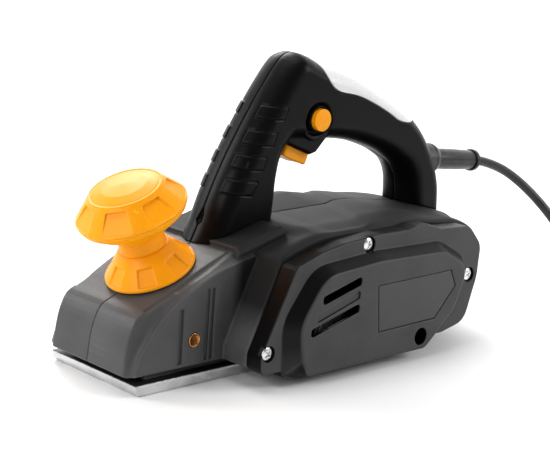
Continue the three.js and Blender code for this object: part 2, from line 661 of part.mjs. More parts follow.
addPart('cutter_drum', cutterDrum(), CAST);
[1, -1].forEach((s, i) => {
  addPart(`planer_blade_${i + 1}`, blade(s), STEEL);
  addPart(`blade_clamp_${i + 1}`, bladeClamp(s), CAST);
});
addPart('drum_bearing_left', ringY(6.3, 13, -50.6, -43.6, DRUM.x, DRUM.z), STEEL);
addPart('drum_bearing_right', ringY(6.3, 13, 42.6, 48.4, DRUM.x, DRUM.z), STEEL);
addPart('drum_pulley', ribbedPulley(DRUM_PULLEY, 6.3, DRUM, 20), CAST);
addPart('motor_pulley', ribbedPulley(MOTOR_PULLEY, 4.8, MOTOR, 14), STEEL);
addPart('drive_belt', cut(
  slabY(beltOutline(GAP + BELT), -75.4, -63.2), slabY(beltOutline(GAP), -80, -60),
), RUBBER);

addPart('stator_core', ringY(17.6, MOTOR.stator, -20, 20, MOTOR.x, MOTOR.z, 28), STEEL);
addPart('stator_winding_left', ringY(19, 27, -30, -20.4, MOTOR.x, MOTOR.z, 20), COPPER);
addPart('stator_winding_right', ringY(19, 27, 20.4, 30, MOTOR.x, MOTOR.z, 20), COPPER);
addPart('armature_shaft', barY(4.5, -76.5, 47.6, MOTOR.x, MOTOR.z, 20), STEEL);
addPart('armature_core', turned([
  [4.8, -29], [12.5, -29], [14.5, -21], [MOTOR.armature, -20], [MOTOR.armature, 20], [14.5, 21],
  [12.5, 29], [4.8, 29], [4.8, -29],
], new THREE.Vector3(MOTOR.x, 0, MOTOR.z), new THREE.Vector3(0, 1, 0), 20), STEEL);
addPart('commutator', ringY(4.8, 11, 30, 42.6, MOTOR.x, MOTOR.z), COPPER);
addPart('cooling_fan', coolingFan(), DARK);
addPart('motor_bearing_left', ringY(4.8, 11, -49.6, -43.6, MOTOR.x, MOTOR.z), STEEL);
addPart('motor_bearing_right', ringY(4.8, 9.5, 43, 47.7, MOTOR.x, MOTOR.z), STEEL);
[1, -1].forEach((s, i) => {
  addPart(`brush_holder_${i + 1}`, brushHolder(s), BRASS);
  addPart(`carbon_brush_${i + 1}`, brush(s), CARBON);
});

addPart('chip_outlet', turned([
  [CHIP.inner, 52.3], [20, 52.3], [20, 54.3], [CHIP.outer, 54.3],
  [CHIP.outer, 72], [CHIP.inner, 72], [CHIP.inner, 52.3],
], new THREE.Vector3(CHIP.x, 0, CHIP.z), new THREE.Vector3(0, 1, 0), 28), BLACK);

addPart('cord_gland', turned([
  [3.9, 0], [11, 0], [11, 12], [9.8, 15.2], [7.6, 17.2], [3.9, 17.2], [3.9, 0],
], CORD_START, CORD_AXIS, 24), DARK);
addPart('strain_relief', turned([
  [3.9, RELIEF_START], [7.6, RELIEF_START], [6.9, RELIEF_END - 5], [8, RELIEF_END - 4.4],
  [8, RELIEF_END - 0.8], [7.2, RELIEF_END], [3.9, RELIEF_END], [3.9, RELIEF_START],
], CORD_START, CORD_AXIS, 20), RUBBER);
addPart('cord_tube', cordTube(), RUBBER);
addPart('cord_coil', cordCoil(), RUBBER);
addPart('cord_plug', cordPlug(), RUBBER);

export default group;
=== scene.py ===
"""Electric hand planer: the visible shapes and finishes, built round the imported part.

Solids are written in millimetres as signed distances on a grid, negative inside, and meshed
where they cross zero.
+X runs from the front knob to the cord, -Y is the belt side and +Z is up. Z = 0 is the sole.
"""

import math

import bmesh
import bpy
import numpy as np
import openvdb
from mathutils import Matrix, Vector


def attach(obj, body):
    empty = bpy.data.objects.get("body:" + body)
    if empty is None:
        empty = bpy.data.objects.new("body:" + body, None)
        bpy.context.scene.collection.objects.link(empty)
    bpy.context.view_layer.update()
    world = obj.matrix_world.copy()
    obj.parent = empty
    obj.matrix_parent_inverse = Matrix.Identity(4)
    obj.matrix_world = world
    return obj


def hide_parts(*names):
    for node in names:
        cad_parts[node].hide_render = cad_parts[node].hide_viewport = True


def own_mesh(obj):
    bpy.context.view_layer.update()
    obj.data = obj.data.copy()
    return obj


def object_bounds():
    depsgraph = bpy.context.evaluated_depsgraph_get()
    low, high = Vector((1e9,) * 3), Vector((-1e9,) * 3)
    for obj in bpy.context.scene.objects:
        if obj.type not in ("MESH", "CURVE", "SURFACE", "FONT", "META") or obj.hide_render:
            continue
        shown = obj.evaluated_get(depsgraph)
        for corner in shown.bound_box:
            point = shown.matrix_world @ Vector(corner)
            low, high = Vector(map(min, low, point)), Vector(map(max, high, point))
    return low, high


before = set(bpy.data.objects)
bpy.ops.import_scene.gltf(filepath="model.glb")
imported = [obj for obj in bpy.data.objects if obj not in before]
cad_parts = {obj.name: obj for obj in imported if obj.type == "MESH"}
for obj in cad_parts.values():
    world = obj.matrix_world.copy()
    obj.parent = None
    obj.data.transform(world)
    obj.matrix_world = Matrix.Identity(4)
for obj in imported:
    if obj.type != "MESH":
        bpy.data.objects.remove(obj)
CAD_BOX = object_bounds()

MM = 0.001
FINE = 1.0  # every grid step is multiplied by this

# ---------- the planer's own sizes, as in its CAD source ----------
SHOE_HALF = 41
HOUSING_BOTTOM = 12.4
WALL = 3
BODY_LEFT, BODY_RIGHT = -61.7, 52
COVER_FACE, BULGE_FACE = -75, -83
HANDLE_HALF, HANDLE_ROUND, HANDLE_WALL = 18, 12, 3.4
SHOE_TOP = 7.3
TILT = math.radians(23.6)
KNOB_FOOT = Vector((-110.8, 0, 63.5))
KNOB_AXIS = Vector((-math.sin(TILT), 0, math.cos(TILT)))
DRUM = (-24, 28)
DRUM_CLEARANCE = 29.4
MOTOR = (54, 50)
CHIP = (-44, 56)
FENCE_THREAD = (-108, 28.2)
LOCK = (9, 150, 7.2)
PUSH = (0.364, 0.931)
CORD_START = Vector((128.5, 0, 112.3))
CORD_AXIS = Vector((0.9945, 0, -0.1045))
COVER_SCREWS = [(-78.8, 23.6), (2.6, 81.1), (104.2, 48.2)]
HANDLE_SCREWS = [(-8, 176), (-42, 118), (66, 148), (122, 96)]


def deck_z(x):
    return 62 + math.tan(TILT) * (x - KNOB_FOOT.x)


# ---------- outlines ----------
def smooth(points, steps):
    """A smooth curve through the points."""
    p = np.array(points, float)
    out = []
    for t in np.linspace(0, len(p) - 1, steps + 1):
        i = min(int(t), len(p) - 2)
        f = t - i
        a, b, c, d = (p[min(max(k, 0), len(p) - 1)] for k in (i - 1, i, i + 1, i + 2))
        v0, v1 = (c - a) / 2, (d - b) / 2
        out.append(
            (2 * b - 2 * c + v0 + v1) * f**3
            + (-3 * b + 3 * c - 2 * v0 - v1) * f**2
            + v0 * f
            + b
        )
    return [tuple(q) for q in out]


def rounded(corners, steps=6):
    """A closed outline of (x, z, radius) corners, each rounded to its radius."""
    out = []
    for i, corner in enumerate(corners):
        here = np.array(corner[:2], float)
        r = corner[2] if len(corner) > 2 else 0
        if not r:
            out.append(tuple(here))
            continue
        before = np.array(corners[i - 1][:2], float) - here
        after = np.array(corners[(i + 1) % len(corners)][:2], float) - here
        before /= np.linalg.norm(before)
        after /= np.linalg.norm(after)
        reach = r / math.tan(math.acos(float(before @ after)) / 2)
        for t in np.linspace(0, 1, steps + 1):
            a, b = here + before * reach, here + after * reach
            out.append(tuple((1 - t) ** 2 * a + 2 * t * (1 - t) * here + t * t * b))
    return out


# ---------- signed distances ----------
class Grid:
    """The sample points of a box, in millimetres."""

    def __init__(self, low, high, step):
        self.step = step * FINE
        self.low = np.array(low, float) - 2.5 * self.step
        counts = np.ceil((np.array(high, float) - self.low) / self.step).astype(int) + 3
        lines = [self.low[k] + self.step * np.arange(counts[k], dtype=np.float32) for k in range(3)]
        self.x = lines[0][:, None, None].astype(np.float32)
        self.y = lines[1][None, :, None].astype(np.float32)
        self.z = lines[2][None, None, :].astype(np.float32)


def outline(u, v, points):
    """Distance to a closed outline in the plane of u and v, negative inside."""
    p = np.array(points, np.float32)
    shape = np.broadcast_shapes(u.shape, v.shape)
    nearest = np.full(shape, 1e9, np.float32)
    inside = np.zeros(shape, bool)
    for (au, av), (bu, bv) in zip(p, np.roll(p, -1, axis=0)):
        eu, ev = bu - au, bv - av
        length = eu * eu + ev * ev
        if length < 1e-9:
            continue
        t = np.clip(((u - au) * eu + (v - av) * ev) / length, 0, 1)
        nearest = np.minimum(nearest, (u - au - eu * t) ** 2 + (v - av - ev * t) ** 2)
        if abs(ev) > 1e-9:
            crosses = (av <= v) != (bv <= v)
            inside ^= crosses & (u < au + (v - av) * eu / ev)
    return np.where(inside, -1, 1).astype(np.float32) * np.sqrt(nearest)


def both(a, b, r=0.0):
    """Where two solids overlap; r rounds the edge between them."""
    if not r:
        return np.maximum(a, b)
    a, b = a + r, b + r
    return np.minimum(np.maximum(a, b), 0) + np.hypot(np.maximum(a, 0), np.maximum(b, 0)) - r


def join(a, b, r=0.0):
    """Two solids together; r is the fillet between them."""
    if not r:
        return np.minimum(a, b)
    a, b = a - r, b - r
    return np.maximum(np.minimum(a, b), 0) - np.hypot(np.minimum(a, 0), np.minimum(b, 0)) + r


def cut(a, b, r=0.0):
    return both(a, -b, r)


def span(v, low, high):
    return np.maximum(low - v, v - high)


def slab(g, points, y0, y1, r=0.0):
    """An outline in X and Z, extruded along Y, with its side edges rounded."""
    return both(outline(g.x, g.z, points), span(g.y, y0, y1), r)


def box(g, x0, x1, y0, y1, z0, z1, r=0.0):
    return both(both(span(g.x, x0, x1), span(g.y, y0, y1), r), span(g.z, z0, z1), r)


def bar(g, x, z, radius, y0, y1, r=0.0):
    """A round bar along Y."""
    return both(np.hypot(g.x - x, g.z - z) - radius, span(g.y, y0, y1), r)


def turned(g, profile, origin, axis):
    """A closed profile of (radius, height) points turned about a line."""
    dx, dy, dz = g.x - origin[0], g.y - origin[1], g.z - origin[2]
    h = dx * axis[0] + dy * axis[1] + dz * axis[2]
    radius = np.sqrt(np.maximum(dx * dx + dy * dy + dz * dz - h * h, 0))
    return lathe(radius, h, profile)


def lathe(radius, h, profile):
    """The distance to a turned profile; mirrored over the axis so that the axis isn't a wall."""
    table_r = np.arange(-2, max(p[0] for p in profile) + 4, 0.2, dtype=np.float32)
    low = min(p[1] for p in profile) - 4
    table_h = np.arange(low, max(p[1] for p in profile) + 4, 0.2, dtype=np.float32)
    closed = list(profile)
    if min(p[0] for p in profile) == 0:
        closed += [(-r, hh) for r, hh in reversed(profile)]
    table = outline(table_r[:, None], table_h[None, :], closed)
    i = np.clip((radius - table_r[0]) / 0.2, 0, len(table_r) - 2)
    j = np.clip((h - table_h[0]) / 0.2, 0, len(table_h) - 2)
    i0, j0 = np.minimum(i.astype(np.int32), len(table_r) - 2), np.minimum(
        j.astype(np.int32), len(table_h) - 2
    )
    fi, fj = i - i0, j - j0
    return (
        table[i0, j0] * (1 - fi) * (1 - fj)
        + table[i0 + 1, j0] * fi * (1 - fj)
        + table[i0, j0 + 1] * (1 - fi) * fj
        + table[i0 + 1, j0 + 1] * fi * fj
    )


# ---------- meshes ----------
def mesh_piece(name, g, d, body, stands_for, material, keep=1.0, place=None):
    """The zero surface of d as a piece that rides on a body and stands for CAD nodes."""
    d = np.ascontiguousarray(np.broadcast_to(d, (g.x.size, g.y.size, g.z.size)), np.float32)
    near = np.clip(d / g.step, -3, 3)
    near[[0, -1], :, :] = 3
    near[:, [0, -1], :] = 3
    near[:, :, [0, -1]] = 3
    grid = openvdb.FloatGrid(3.0)
    grid.copyFromArray(near)
    points, quads = grid.convertToQuads(isovalue=0.0)
    points = g.low + np.array(points, float) * g.step
    if place is not None:
        points = points @ np.array(place.to_3x3()).T + np.array(place.translation)
    return piece_from(name, points * MM, np.array(quads), body, stands_for, material, keep)


def piece_from(name, points, faces, body, stands_for, material, keep=1.0):
    mesh = bpy.data.meshes.new(name)
    mesh.from_pydata(points.tolist(), [], faces.tolist())
    mesh.validate()
    mesh.update()
    piece = bpy.data.objects.new(name, mesh)
    bpy.context.scene.collection.objects.link(piece)
    turn_out(mesh)
    if keep < 1:
        thin = piece.modifiers.new("thin", "DECIMATE")
        thin.ratio = keep
        apply_modifiers(piece)
        drop_slivers(piece.data)
    for polygon in piece.data.polygons:
        polygon.use_smooth = True
    finish_piece(piece, body, stands_for, material)
    return piece


def drop_slivers(mesh):
    """Removes the needle-thin faces that thinning leaves."""
    bm = bmesh.new()
    bm.from_mesh(mesh)
    bmesh.ops.dissolve_degenerate(bm, dist=0.04 * MM, edges=bm.edges)
    bmesh.ops.triangulate(bm, faces=[f for f in bm.faces if len(f.verts) > 4])
    bm.to_mesh(mesh)
    bm.free()


def turn_out(mesh):
    """Turns the faces outwards if the mesh's volume comes out negative."""
    v = np.zeros(len(mesh.vertices) * 3)
    mesh.vertices.foreach_get("co", v)
    v = v.reshape(-1, 3)
    mesh.calc_loop_triangles()
    t = np.zeros(len(mesh.loop_triangles) * 3, int)
    mesh.loop_triangles.foreach_get("vertices", t)
    a, b, c = (v[t.reshape(-1, 3)[:, k]] for k in range(3))
    total = np.einsum("ij,ij->", a, np.cross(b, c))
    if total < 0:
        mesh.flip_normals()


def apply_modifiers(piece):
    made = bpy.data.meshes.new_from_object(
        piece.evaluated_get(bpy.context.evaluated_depsgraph_get())
    )
    piece.modifiers.clear()
    piece.data = made


def keep_in_box(mesh):
    """Moves vertices that stand a hair outside the CAD box onto its faces."""
    v = np.zeros(len(mesh.vertices) * 3)
    mesh.vertices.foreach_get("co", v)
    low, high = np.array(CAD_BOX[0]) + 1e-5, np.array(CAD_BOX[1]) - 1e-5
    mesh.vertices.foreach_set("co", np.clip(v.reshape(-1, 3), low, high).ravel())
    mesh.update()


def finish_piece(piece, body, stands_for, material):
    keep_in_box(piece.data)
    piece.data.materials.clear()
    piece.data.materials.append(material)
    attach(piece, body)
    if stands_for:
        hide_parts(*stands_for)


# ---------- finishes ----------
class Nodes:
    """Short names for building a material's node tree."""

    def __init__(self, name):
        self.material = bpy.data.materials.new(name)
        self.material.use_nodes = True
        self.tree = self.material.node_tree
        self.shader = self.tree.nodes["Principled BSDF"]
        self.place = self.add("ShaderNodeTexCoord").outputs["Object"]

    def add(self, kind, **settings):
        node = self.tree.nodes.new(kind)
        for key, value in settings.items():
            setattr(node, key, value)
        return node

    def link(self, a, b):
        self.tree.links.new(a, b)

    def add_math(self, operation, *values):
        node = self.add("ShaderNodeMath", operation=operation)
        for value, socket in zip(values, node.inputs):
            if hasattr(value, "is_output"):
                self.link(value, socket)
            else:
                socket.default_value = value
        return node.outputs["Value"]

    def noise(self, size_mm, detail=3.0, stretch=(1, 1, 1)):
        """Noise whose features are about size_mm across."""
        mapping = self.add("ShaderNodeMapping")
        mapping.inputs["Scale"].default_value = stretch
        self.link(self.place, mapping.inputs["Vector"])
        noise = self.add("ShaderNodeTexNoise")
        noise.inputs["Scale"].default_value = 1000 / size_mm
        noise.inputs["Detail"].default_value = detail
        self.link(mapping.outputs["Vector"], noise.inputs["Vector"])
        return noise.outputs["Fac"]

    def ramp(self, value, stops):
        """A value turned into colours at (position, colour) stops."""
        ramp = self.add("ShaderNodeValToRGB")
        band = ramp.color_ramp
        while len(band.elements) < len(stops):
            band.elements.new(0.5)
        for element, (at, colour) in zip(band.elements, stops):
            element.position = at
            element.color = (*colour, 1) if hasattr(colour, "__len__") else (
                colour, colour, colour, 1
            )
        self.link(value, ramp.inputs["Fac"])
        return ramp.outputs["Color"]

    def mix(self, factor, a, b, blend="MIX"):
        node = self.add("ShaderNodeMix", data_type="RGBA", blend_type=blend)
        for value, socket in (
            (factor, node.inputs["Factor"]), (a, node.inputs["A"]), (b, node.inputs["B"])
        ):
            if hasattr(value, "is_output"):
                self.link(value, socket)
            elif hasattr(value, "__len__"):
                socket.default_value = (*value, 1)
            else:
                socket.default_value = value
        return node.outputs["Result"]

    def edges(self, low=0.52, high=0.6):
        """1 on convex edges and 0 on flat or hollow ground."""
        return self.ramp(
            self.add("ShaderNodeNewGeometry").outputs["Pointiness"], [(low, 0.0), (high, 1.0)]
        )

    def bump(self, heights):
        """Bumps of (value, height in mm) laid one on the other."""
        normal = None
        for value, height in heights:
            node = self.add("ShaderNodeBump")
            node.inputs["Strength"].default_value = 1.0
            node.inputs["Distance"].default_value = height * MM
            self.link(value, node.inputs["Height"])
            if normal is not None:
                self.link(normal, node.inputs["Normal"])
            normal = node.outputs["Normal"]
        self.link(normal, self.shader.inputs["Normal"])

    def source(self, name):
        """What feeds one of the shader's sockets now."""
        return self.shader.inputs[name].links[0].from_socket

    def set(self, **values):
        for key, value in values.items():
            socket = self.shader.inputs[key.replace("_", " ")]
            if hasattr(value, "is_output"):
                self.link(value, socket)
            else:
                socket.default_value = (*value, 1) if hasattr(value, "__len__") else value


def plastic(*settings, **named):
    return plastic_nodes(*settings, **named).material


def plastic_nodes(
    name, colour, rough, grain=0.03, worn=None, specular=0.5, variation=0.1, grain_mm=0.45
):
    """Moulded plastic: a fine spark-eroded grain, slow changes of tone, and smoother edges whose colour
    is lightened by wear and by painted highlight.
    """
    n = Nodes(name)
    fine, middle, slow = n.noise(grain_mm, 2), n.noise(1.3, 3), n.noise(28, 4)
    worn = worn or tuple(min(1.0, c * 1.5 + 0.012) for c in colour)
    low, high = (tuple(c * k for c in colour) for k in (1 - variation, 1 + variation))
    base = n.ramp(slow, [(0.35, low), (0.65, high)])
    flecks = n.ramp(fine, [(0.35, 0.86), (0.65, 1.0)])
    base = n.mix(0.75, base, flecks, "MULTIPLY")
    # convex edges take a lighter colour, partly wear and partly a painted highlight
    n.set(Base_Color=n.mix(n.edges(), base, worn))
    even = n.ramp(middle, [(0.3, rough - 0.06), (0.7, rough + 0.06)])
    n.set(Roughness=n.mix(n.edges(), even, (rough * 0.8,) * 3), Specular_IOR_Level=specular)
    n.bump([(fine, grain), (middle, grain * 1.2)])
    return n


def machined(name, colour, rough, stretch=(1, 1, 1), line_mm=0.5, height=0.01):
    """Milled, ground or turned metal: fine tool lines, small stains and brighter edges."""
    n = Nodes(name)
    lines, stains = n.noise(line_mm, 2, stretch), n.noise(14, 5)
    low, high = (tuple(c * k for c in colour) for k in (0.8, 1.08))
    tone = n.ramp(stains, [(0.35, low), (0.65, high)])
    base = n.mix(0.5, tone, n.ramp(lines, [(0.3, 0.75), (0.7, 1.0)]), "MULTIPLY")
    n.set(Base_Color=n.mix(n.edges(), base, tuple(min(1, c * 1.15) for c in colour)), Metallic=1.0)
    n.set(Roughness=n.ramp(stains, [(0.3, rough - 0.07), (0.7, rough + 0.1)]))
    n.bump([(lines, height)])
    return n.material


def rubber(name, colour, rough):
    """Soft PVC: a faint sheen, dust in random patches and a slight orange-peel surface."""
    n = Nodes(name)
    peel, fine, dust = n.noise(2.2, 2), n.noise(0.4, 2), n.noise(9, 5)
    base = n.ramp(dust, [(0.4, colour), (0.75, tuple(c * 1.5 + 0.01 for c in colour))])
    n.set(Base_Color=base, Roughness=n.ramp(peel, [(0.3, rough - 0.07), (0.7, rough + 0.07)]))
    n.set(Specular_IOR_Level=0.3, Sheen_Weight=0.04, Sheen_Roughness=0.5)
    n.bump([(fine, 0.012), (peel, 0.03)])
    return n.material


def wound_wire(name):
    """Enamelled copper wire, wound round the ends of the stator."""
    n = Nodes(name)
    wave = n.add("ShaderNodeTexWave", wave_type="RINGS", rings_direction="Y")
    wave.inputs["Scale"].default_value = 320
    wave.inputs["Distortion"].default_value = 1.2
    n.link(n.place, wave.inputs["Vector"])
    n.set(Base_Color=n.ramp(wave.outputs["Fac"], [(0.1, (0.16, 0.05, 0.02)), (0.6, (0.72, 0.30, 0.12))]))
    n.set(Metallic=0.9, Roughness=n.ramp(n.noise(3), [(0.3, 0.28), (0.7, 0.45)]), Coat_Weight=0.5)
    n.bump([(wave.outputs["Fac"], 0.15)])
    return n.material


def cover_plastic():
    """The cover's faces are spark-eroded, and its side walls are smooth and glossier, with painted shade
    that darkens their colour almost to black.
    """
    n = plastic_nodes(
        "cover_plastic", (0.052, 0.052, 0.053), 0.5, grain=0.03, worn=(0.12, 0.12, 0.124),
        specular=0.16
    )
    axes = n.add("ShaderNodeSeparateXYZ")
    n.link(n.add("ShaderNodeNewGeometry").outputs["True Normal"], axes.inputs["Vector"])
    wall = n.ramp(n.add_math("ABSOLUTE", axes.outputs["Y"]), [(0.80, 1.0), (0.93, 0.0)])
    # walls that don't face along Y are darkened almost to black: painted shade
    n.set(Base_Color=n.mix(wall, n.source("Base Color"), (0.0015, 0.0015, 0.0016)))
    n.set(Roughness=n.mix(wall, n.source("Roughness"), (0.36, 0.36, 0.36)))
    return n.material


def housing_plastic():
    """The housing's plastic: an open matt grain on the nose, and flatter behind it, where painted shade
    darkens the colour to a tenth.
    """
    n = plastic_nodes(
        "housing_plastic", (0.067, 0.067, 0.0685), 0.45, grain=0.03, worn=(0.12, 0.12, 0.123),
        specular=0.2
    )
    place = n.add("ShaderNodeSeparateXYZ")
    n.link(n.place, place.inputs["Vector"])
    # from about x = -80 mm rearwards the colour fades to a tenth: painted shade
    along = n.add_math("MULTIPLY_ADD", place.outputs["X"], 10.0, 1.2)
    behind = n.ramp(along, [(0.40, 0.0), (0.48, 1.0)])
    grainy = n.source("Base Color")
    n.set(Base_Color=n.mix(behind, grainy, n.mix(1.0, grainy, (0.10, 0.10, 0.10), "MULTIPLY")))
    n.set(Roughness=n.mix(behind, n.source("Roughness"), (0.62, 0.62, 0.62)))
    return n.material


def painted_casting(name, metal, paint, height_mm):
    """A casting that is milled bright up to a height and painted black above it."""
    n = Nodes(name)
    place = n.add("ShaderNodeSeparateXYZ")
    n.link(n.place, place.inputs["Vector"])
    chips = n.noise(1.6, 4)
    level = n.add_math("MULTIPLY_ADD", chips, 0.0006, place.outputs["Z"])
    scaled = n.add_math("MULTIPLY", level, 1000 / 20)
    painted = n.ramp(scaled, [(height_mm / 20, 0.0), ((height_mm + 0.35) / 20, 1.0)])
    lines, stains = n.noise(0.7, 2, (0.06, 1.6, 1)), n.noise(14, 5)
    tone = n.ramp(stains, [(0.35, tuple(c * 0.8 for c in metal)), (0.65, metal)])
    bright = n.mix(0.5, tone, n.ramp(lines, [(0.3, 0.75), (0.7, 1.0)]), "MULTIPLY")
    n.set(Base_Color=n.mix(painted, bright, paint), Metallic=n.mix(painted, (1, 1, 1), (0, 0, 0)))
    n.set(Roughness=n.mix(painted, n.ramp(stains, [(0.3, 0.24), (0.7, 0.4)]), (0.5, 0.5, 0.5)))
    n.bump([(lines, 0.012), (chips, 0.02)])
    return n.material


BLACK = plastic(
    "black_plastic",
    (0.016, 0.016, 0.0165),
    0.44,
    grain=0.025,
    worn=(0.05, 0.05, 0.052),
    specular=0.25,
)
HOUSING = housing_plastic()
GRIP = plastic(
    "grip_plastic",
    (0.0025, 0.0025, 0.0027),
    0.36,
    grain=0.014,
    worn=(0.012, 0.012, 0.013),
    specular=0.085,
)
COVER = cover_plastic()
DARK = plastic("dark_plastic", (0.008, 0.008, 0.009), 0.4, grain=0.012)
LABEL = plastic("label_film", (0.014, 0.014, 0.0145), 0.42, grain=0.045, grain_mm=0.8)
WHITE = plastic(
    "white_plastic", (0.72, 0.72, 0.715), 0.3, grain=0.008, worn=(0.84, 0.84, 0.83), variation=0.015
)
YELLOW = plastic(
    "yellow_plastic",
    (0.95, 0.345, 0.003),
    0.38,
    grain=0.012,
    worn=(1.0, 0.5, 0.03),
    specular=0.16,
    variation=0.03,
)
ALUMINIUM = painted_casting("shoe_aluminium", (0.70, 0.705, 0.715), (0.012, 0.012, 0.013), 7.0)
CAST = machined("cast_aluminium", (0.66, 0.67, 0.69), 0.38, line_mm=0.8, height=0.03)
STEEL = machined(
    "ground_steel", (0.60, 0.60, 0.61), 0.26, stretch=(1, 0.08, 1), line_mm=0.5, height=0.006
)
SCREW = machined("zinc_screw", (0.82, 0.83, 0.84), 0.22, line_mm=0.6, height=0.006)
BRASS = machined("turned_brass", (0.62, 0.30, 0.10), 0.24, line_mm=0.4, height=0.006)
CARBON = plastic("carbon", (0.02, 0.02, 0.021), 0.55, grain=0.02)
RUBBER = rubber("black_rubber", (0.006, 0.006, 0.0065), 0.34)
BELT = rubber("belt_rubber", (0.012, 0.012, 0.012), 0.6)
COPPER = wound_wire("wound_copper")


# ---------- camera, light and floor ----------
VIEW_AZIMUTH = math.radians(44.5)


def look():
    """The camera: three quarters from the front left, a little above, and rolled 4 degrees."""
    azimuth, elevation, roll = VIEW_AZIMUTH, math.radians(13.6), math.radians(4.0)
    back = Vector((
        -math.sin(azimuth) * math.cos(elevation),
        -math.cos(azimuth) * math.cos(elevation),
        math.sin(elevation),
    ))
    level = Vector((0, 0, 1)).cross(back).normalized()
    upright = back.cross(level)
    right = math.cos(roll) * level + math.sin(roll) * upright
    up = -math.sin(roll) * level + math.cos(roll) * upright
    camera = bpy.data.objects.new("camera", bpy.data.cameras.new("camera"))
    bpy.context.scene.collection.objects.link(camera)
    place = Matrix((right, up, back)).transposed().to_4x4()
    place.translation = Vector((-0.0099, 0, 0.070)) + 1.0011 * back
    camera.matrix_world = place
    camera.data.sensor_width = 36
    camera.data.lens = 100.66
    camera.data.shift_x = 0.0069
    camera.data.shift_y = 0.0245
    camera.data.clip_start = 0.05
    camera.data.clip_end = 50
    bpy.context.scene.camera = camera


def area_light(name, place, target, size, power):
    light = bpy.data.lights.new(name, "AREA")
    light.shape = "RECTANGLE"
    light.size, light.size_y = size
    light.energy = power
    lamp = bpy.data.objects.new(name, light)
    lamp.location = place
    lamp.rotation_euler = (Vector(target) - Vector(place)).to_track_quat("-Z", "Y").to_euler()
    bpy.context.scene.collection.objects.link(lamp)


def plane(name, corners, material):
    mesh = bpy.data.meshes.new(name)
    mesh.from_pydata(corners, [], [(0, 1, 2, 3)])
    piece = bpy.data.objects.new(name, mesh)
    bpy.context.scene.collection.objects.link(piece)
    mesh.materials.append(material)


def studio():
    """A pale floor, a lit white wall behind, and soft lights."""
    world = bpy.data.worlds.new("room")
    bpy.context.scene.world = world
    world.use_nodes = True
    world.node_tree.nodes["Background"].inputs["Color"].default_value = (1, 1, 1, 1)
    world.node_tree.nodes["Background"].inputs["Strength"].default_value = 0.22
    area_light("top", (-0.1, 0.2, 1.25), (0, 0, 0.05), (0.8, 0.8), 7)
    area_light("behind", (0.4, 0.98, 0.95), (-0.05, 0, 0.07), (0.6, 0.5), 9)
    area_light("behind_left", (-0.95, 1.15, 0.78), (-0.08, 0, 0.08), (0.5, 0.7), 12)
    area_light("right", (0.95, -1.0, 0.75), (0, 0, 0.08), (0.5, 0.7), 12.5)
    area_light("left", (-1.35, -0.1, 0.7), (-0.1, 0, 0.06), (0.5, 0.6), 8.5)
    n = Nodes("floor_paint")
    n.set(Base_Color=n.ramp(n.noise(120, 3), [(0.3, 0.88), (0.7, 0.92)]), Roughness=0.65)
    plane("floor", [(-5, -5, 0), (5, -5, 0), (5, 5, 0), (-5, 5, 0)], n.material)
    n = Nodes("wall_light")
    n.set(Base_Color=(0.9, 0.9, 0.9), Emission_Color=(1, 1, 1), Emission_Strength=1.0)
    shape, clear, either = (
        n.add("ShaderNode" + kind) for kind in ("NewGeometry", "BsdfTransparent", "MixShader")
    )
    n.link(shape.outputs["Backfacing"], either.inputs["Fac"])
    n.link(n.shader.outputs["BSDF"], either.inputs[1])
    n.link(clear.outputs["BSDF"], either.inputs[2])
    n.link(either.outputs["Shader"], n.tree.nodes["Material Output"].inputs["Surface"])
    distance, half_width, tall = 1.6, 4, 3
    away = Vector((math.sin(VIEW_AZIMUTH), math.cos(VIEW_AZIMUTH), 0))
    side = Vector((away.y, -away.x, 0)) * half_width
    foot, rise = away * distance, Vector((0, 0, tall))
    corners = [foot - side, foot + side, foot + side + rise, foot - side + rise]
    plane("wall", [tuple(c) for c in corners], n.material)
    view = bpy.context.scene.view_settings
    view.view_transform = "Standard"
    view.look = "None"


look()
studio()


# ---------- cord ----------
CORD_RADIUS = 3.5
LAID = 3.9  # the lead's middle above the floor where it lies
RELIEF_END = 63.5
ROUTE = [
    (207, 0, 103.9), (222, -1.5, 98.5), (238, -6, 89), (253, -13, 76), (266, -22, 60),
    (277, -32, 42), (287, -42, 25), (298, -53, 11), (311, -65, 4.6), (326, -77, LAID),
    (341, -88, LAID),
]
COIL = Vector((378, -45.3, 0))
COIL_OUTER, COIL_TURNS, STRAND = 49.0, 3, 7.02
PLUG = Vector((450, -36, 17.8))


def spiral(first, last, z0, z1, turns, start):
    """Points round the coil from one radius to another, anticlockwise from an angle in turns."""
    count = max(2, round(16 * turns))
    out = []
    for i in range(1, count + 1):
        t = i / count
        angle = 2 * math.pi * (start + turns * t)
        r = first + (last - first) * t
        out.append(COIL + Vector((r * math.cos(angle), r * math.sin(angle), z0 + (z1 - z0) * t)))
    return out


def cord_points():
    """The whole lead: out of the relief, down to the floor, round the coil and into the plug."""
    inside = [CORD_START + CORD_AXIS * h for h in (34, 48, RELIEF_END, RELIEF_END + 8)]
    run = inside + [Vector(p) for p in ROUTE[1:]]
    run.append(Vector((357, -93.3, LAID)))
    inner = COIL_OUTER - COIL_TURNS * STRAND
    high = LAID + STRAND
    coil = [COIL + Vector((0, -COIL_OUTER, LAID))]
    coil += spiral(COIL_OUTER, inner, LAID, LAID, COIL_TURNS, -0.25)
    coil += spiral(inner, inner, LAID, high, 0.25, -0.25)
    coil += spiral(inner, COIL_OUTER, high, high, COIL_TURNS, 0)
    coil += spiral(COIL_OUTER, COIL_OUTER, high, high, 0.75, 0)
    reach = 28.0
    level = COIL.y - COIL_OUTER
    turn = Vector((PLUG.x - reach, level + reach, 0))
    tail = [Vector((x, level, z)) for x, z in ((390, 10.6), (405, 10.4))]
    for k in range(6):
        angle = -math.pi / 2 + k * math.pi / 10
        bend = turn + reach * Vector((math.cos(angle), math.sin(angle), 0))
        tail.append(bend + Vector((0, 0, 11.2 + 1.3 * k)))
    return run + coil + tail


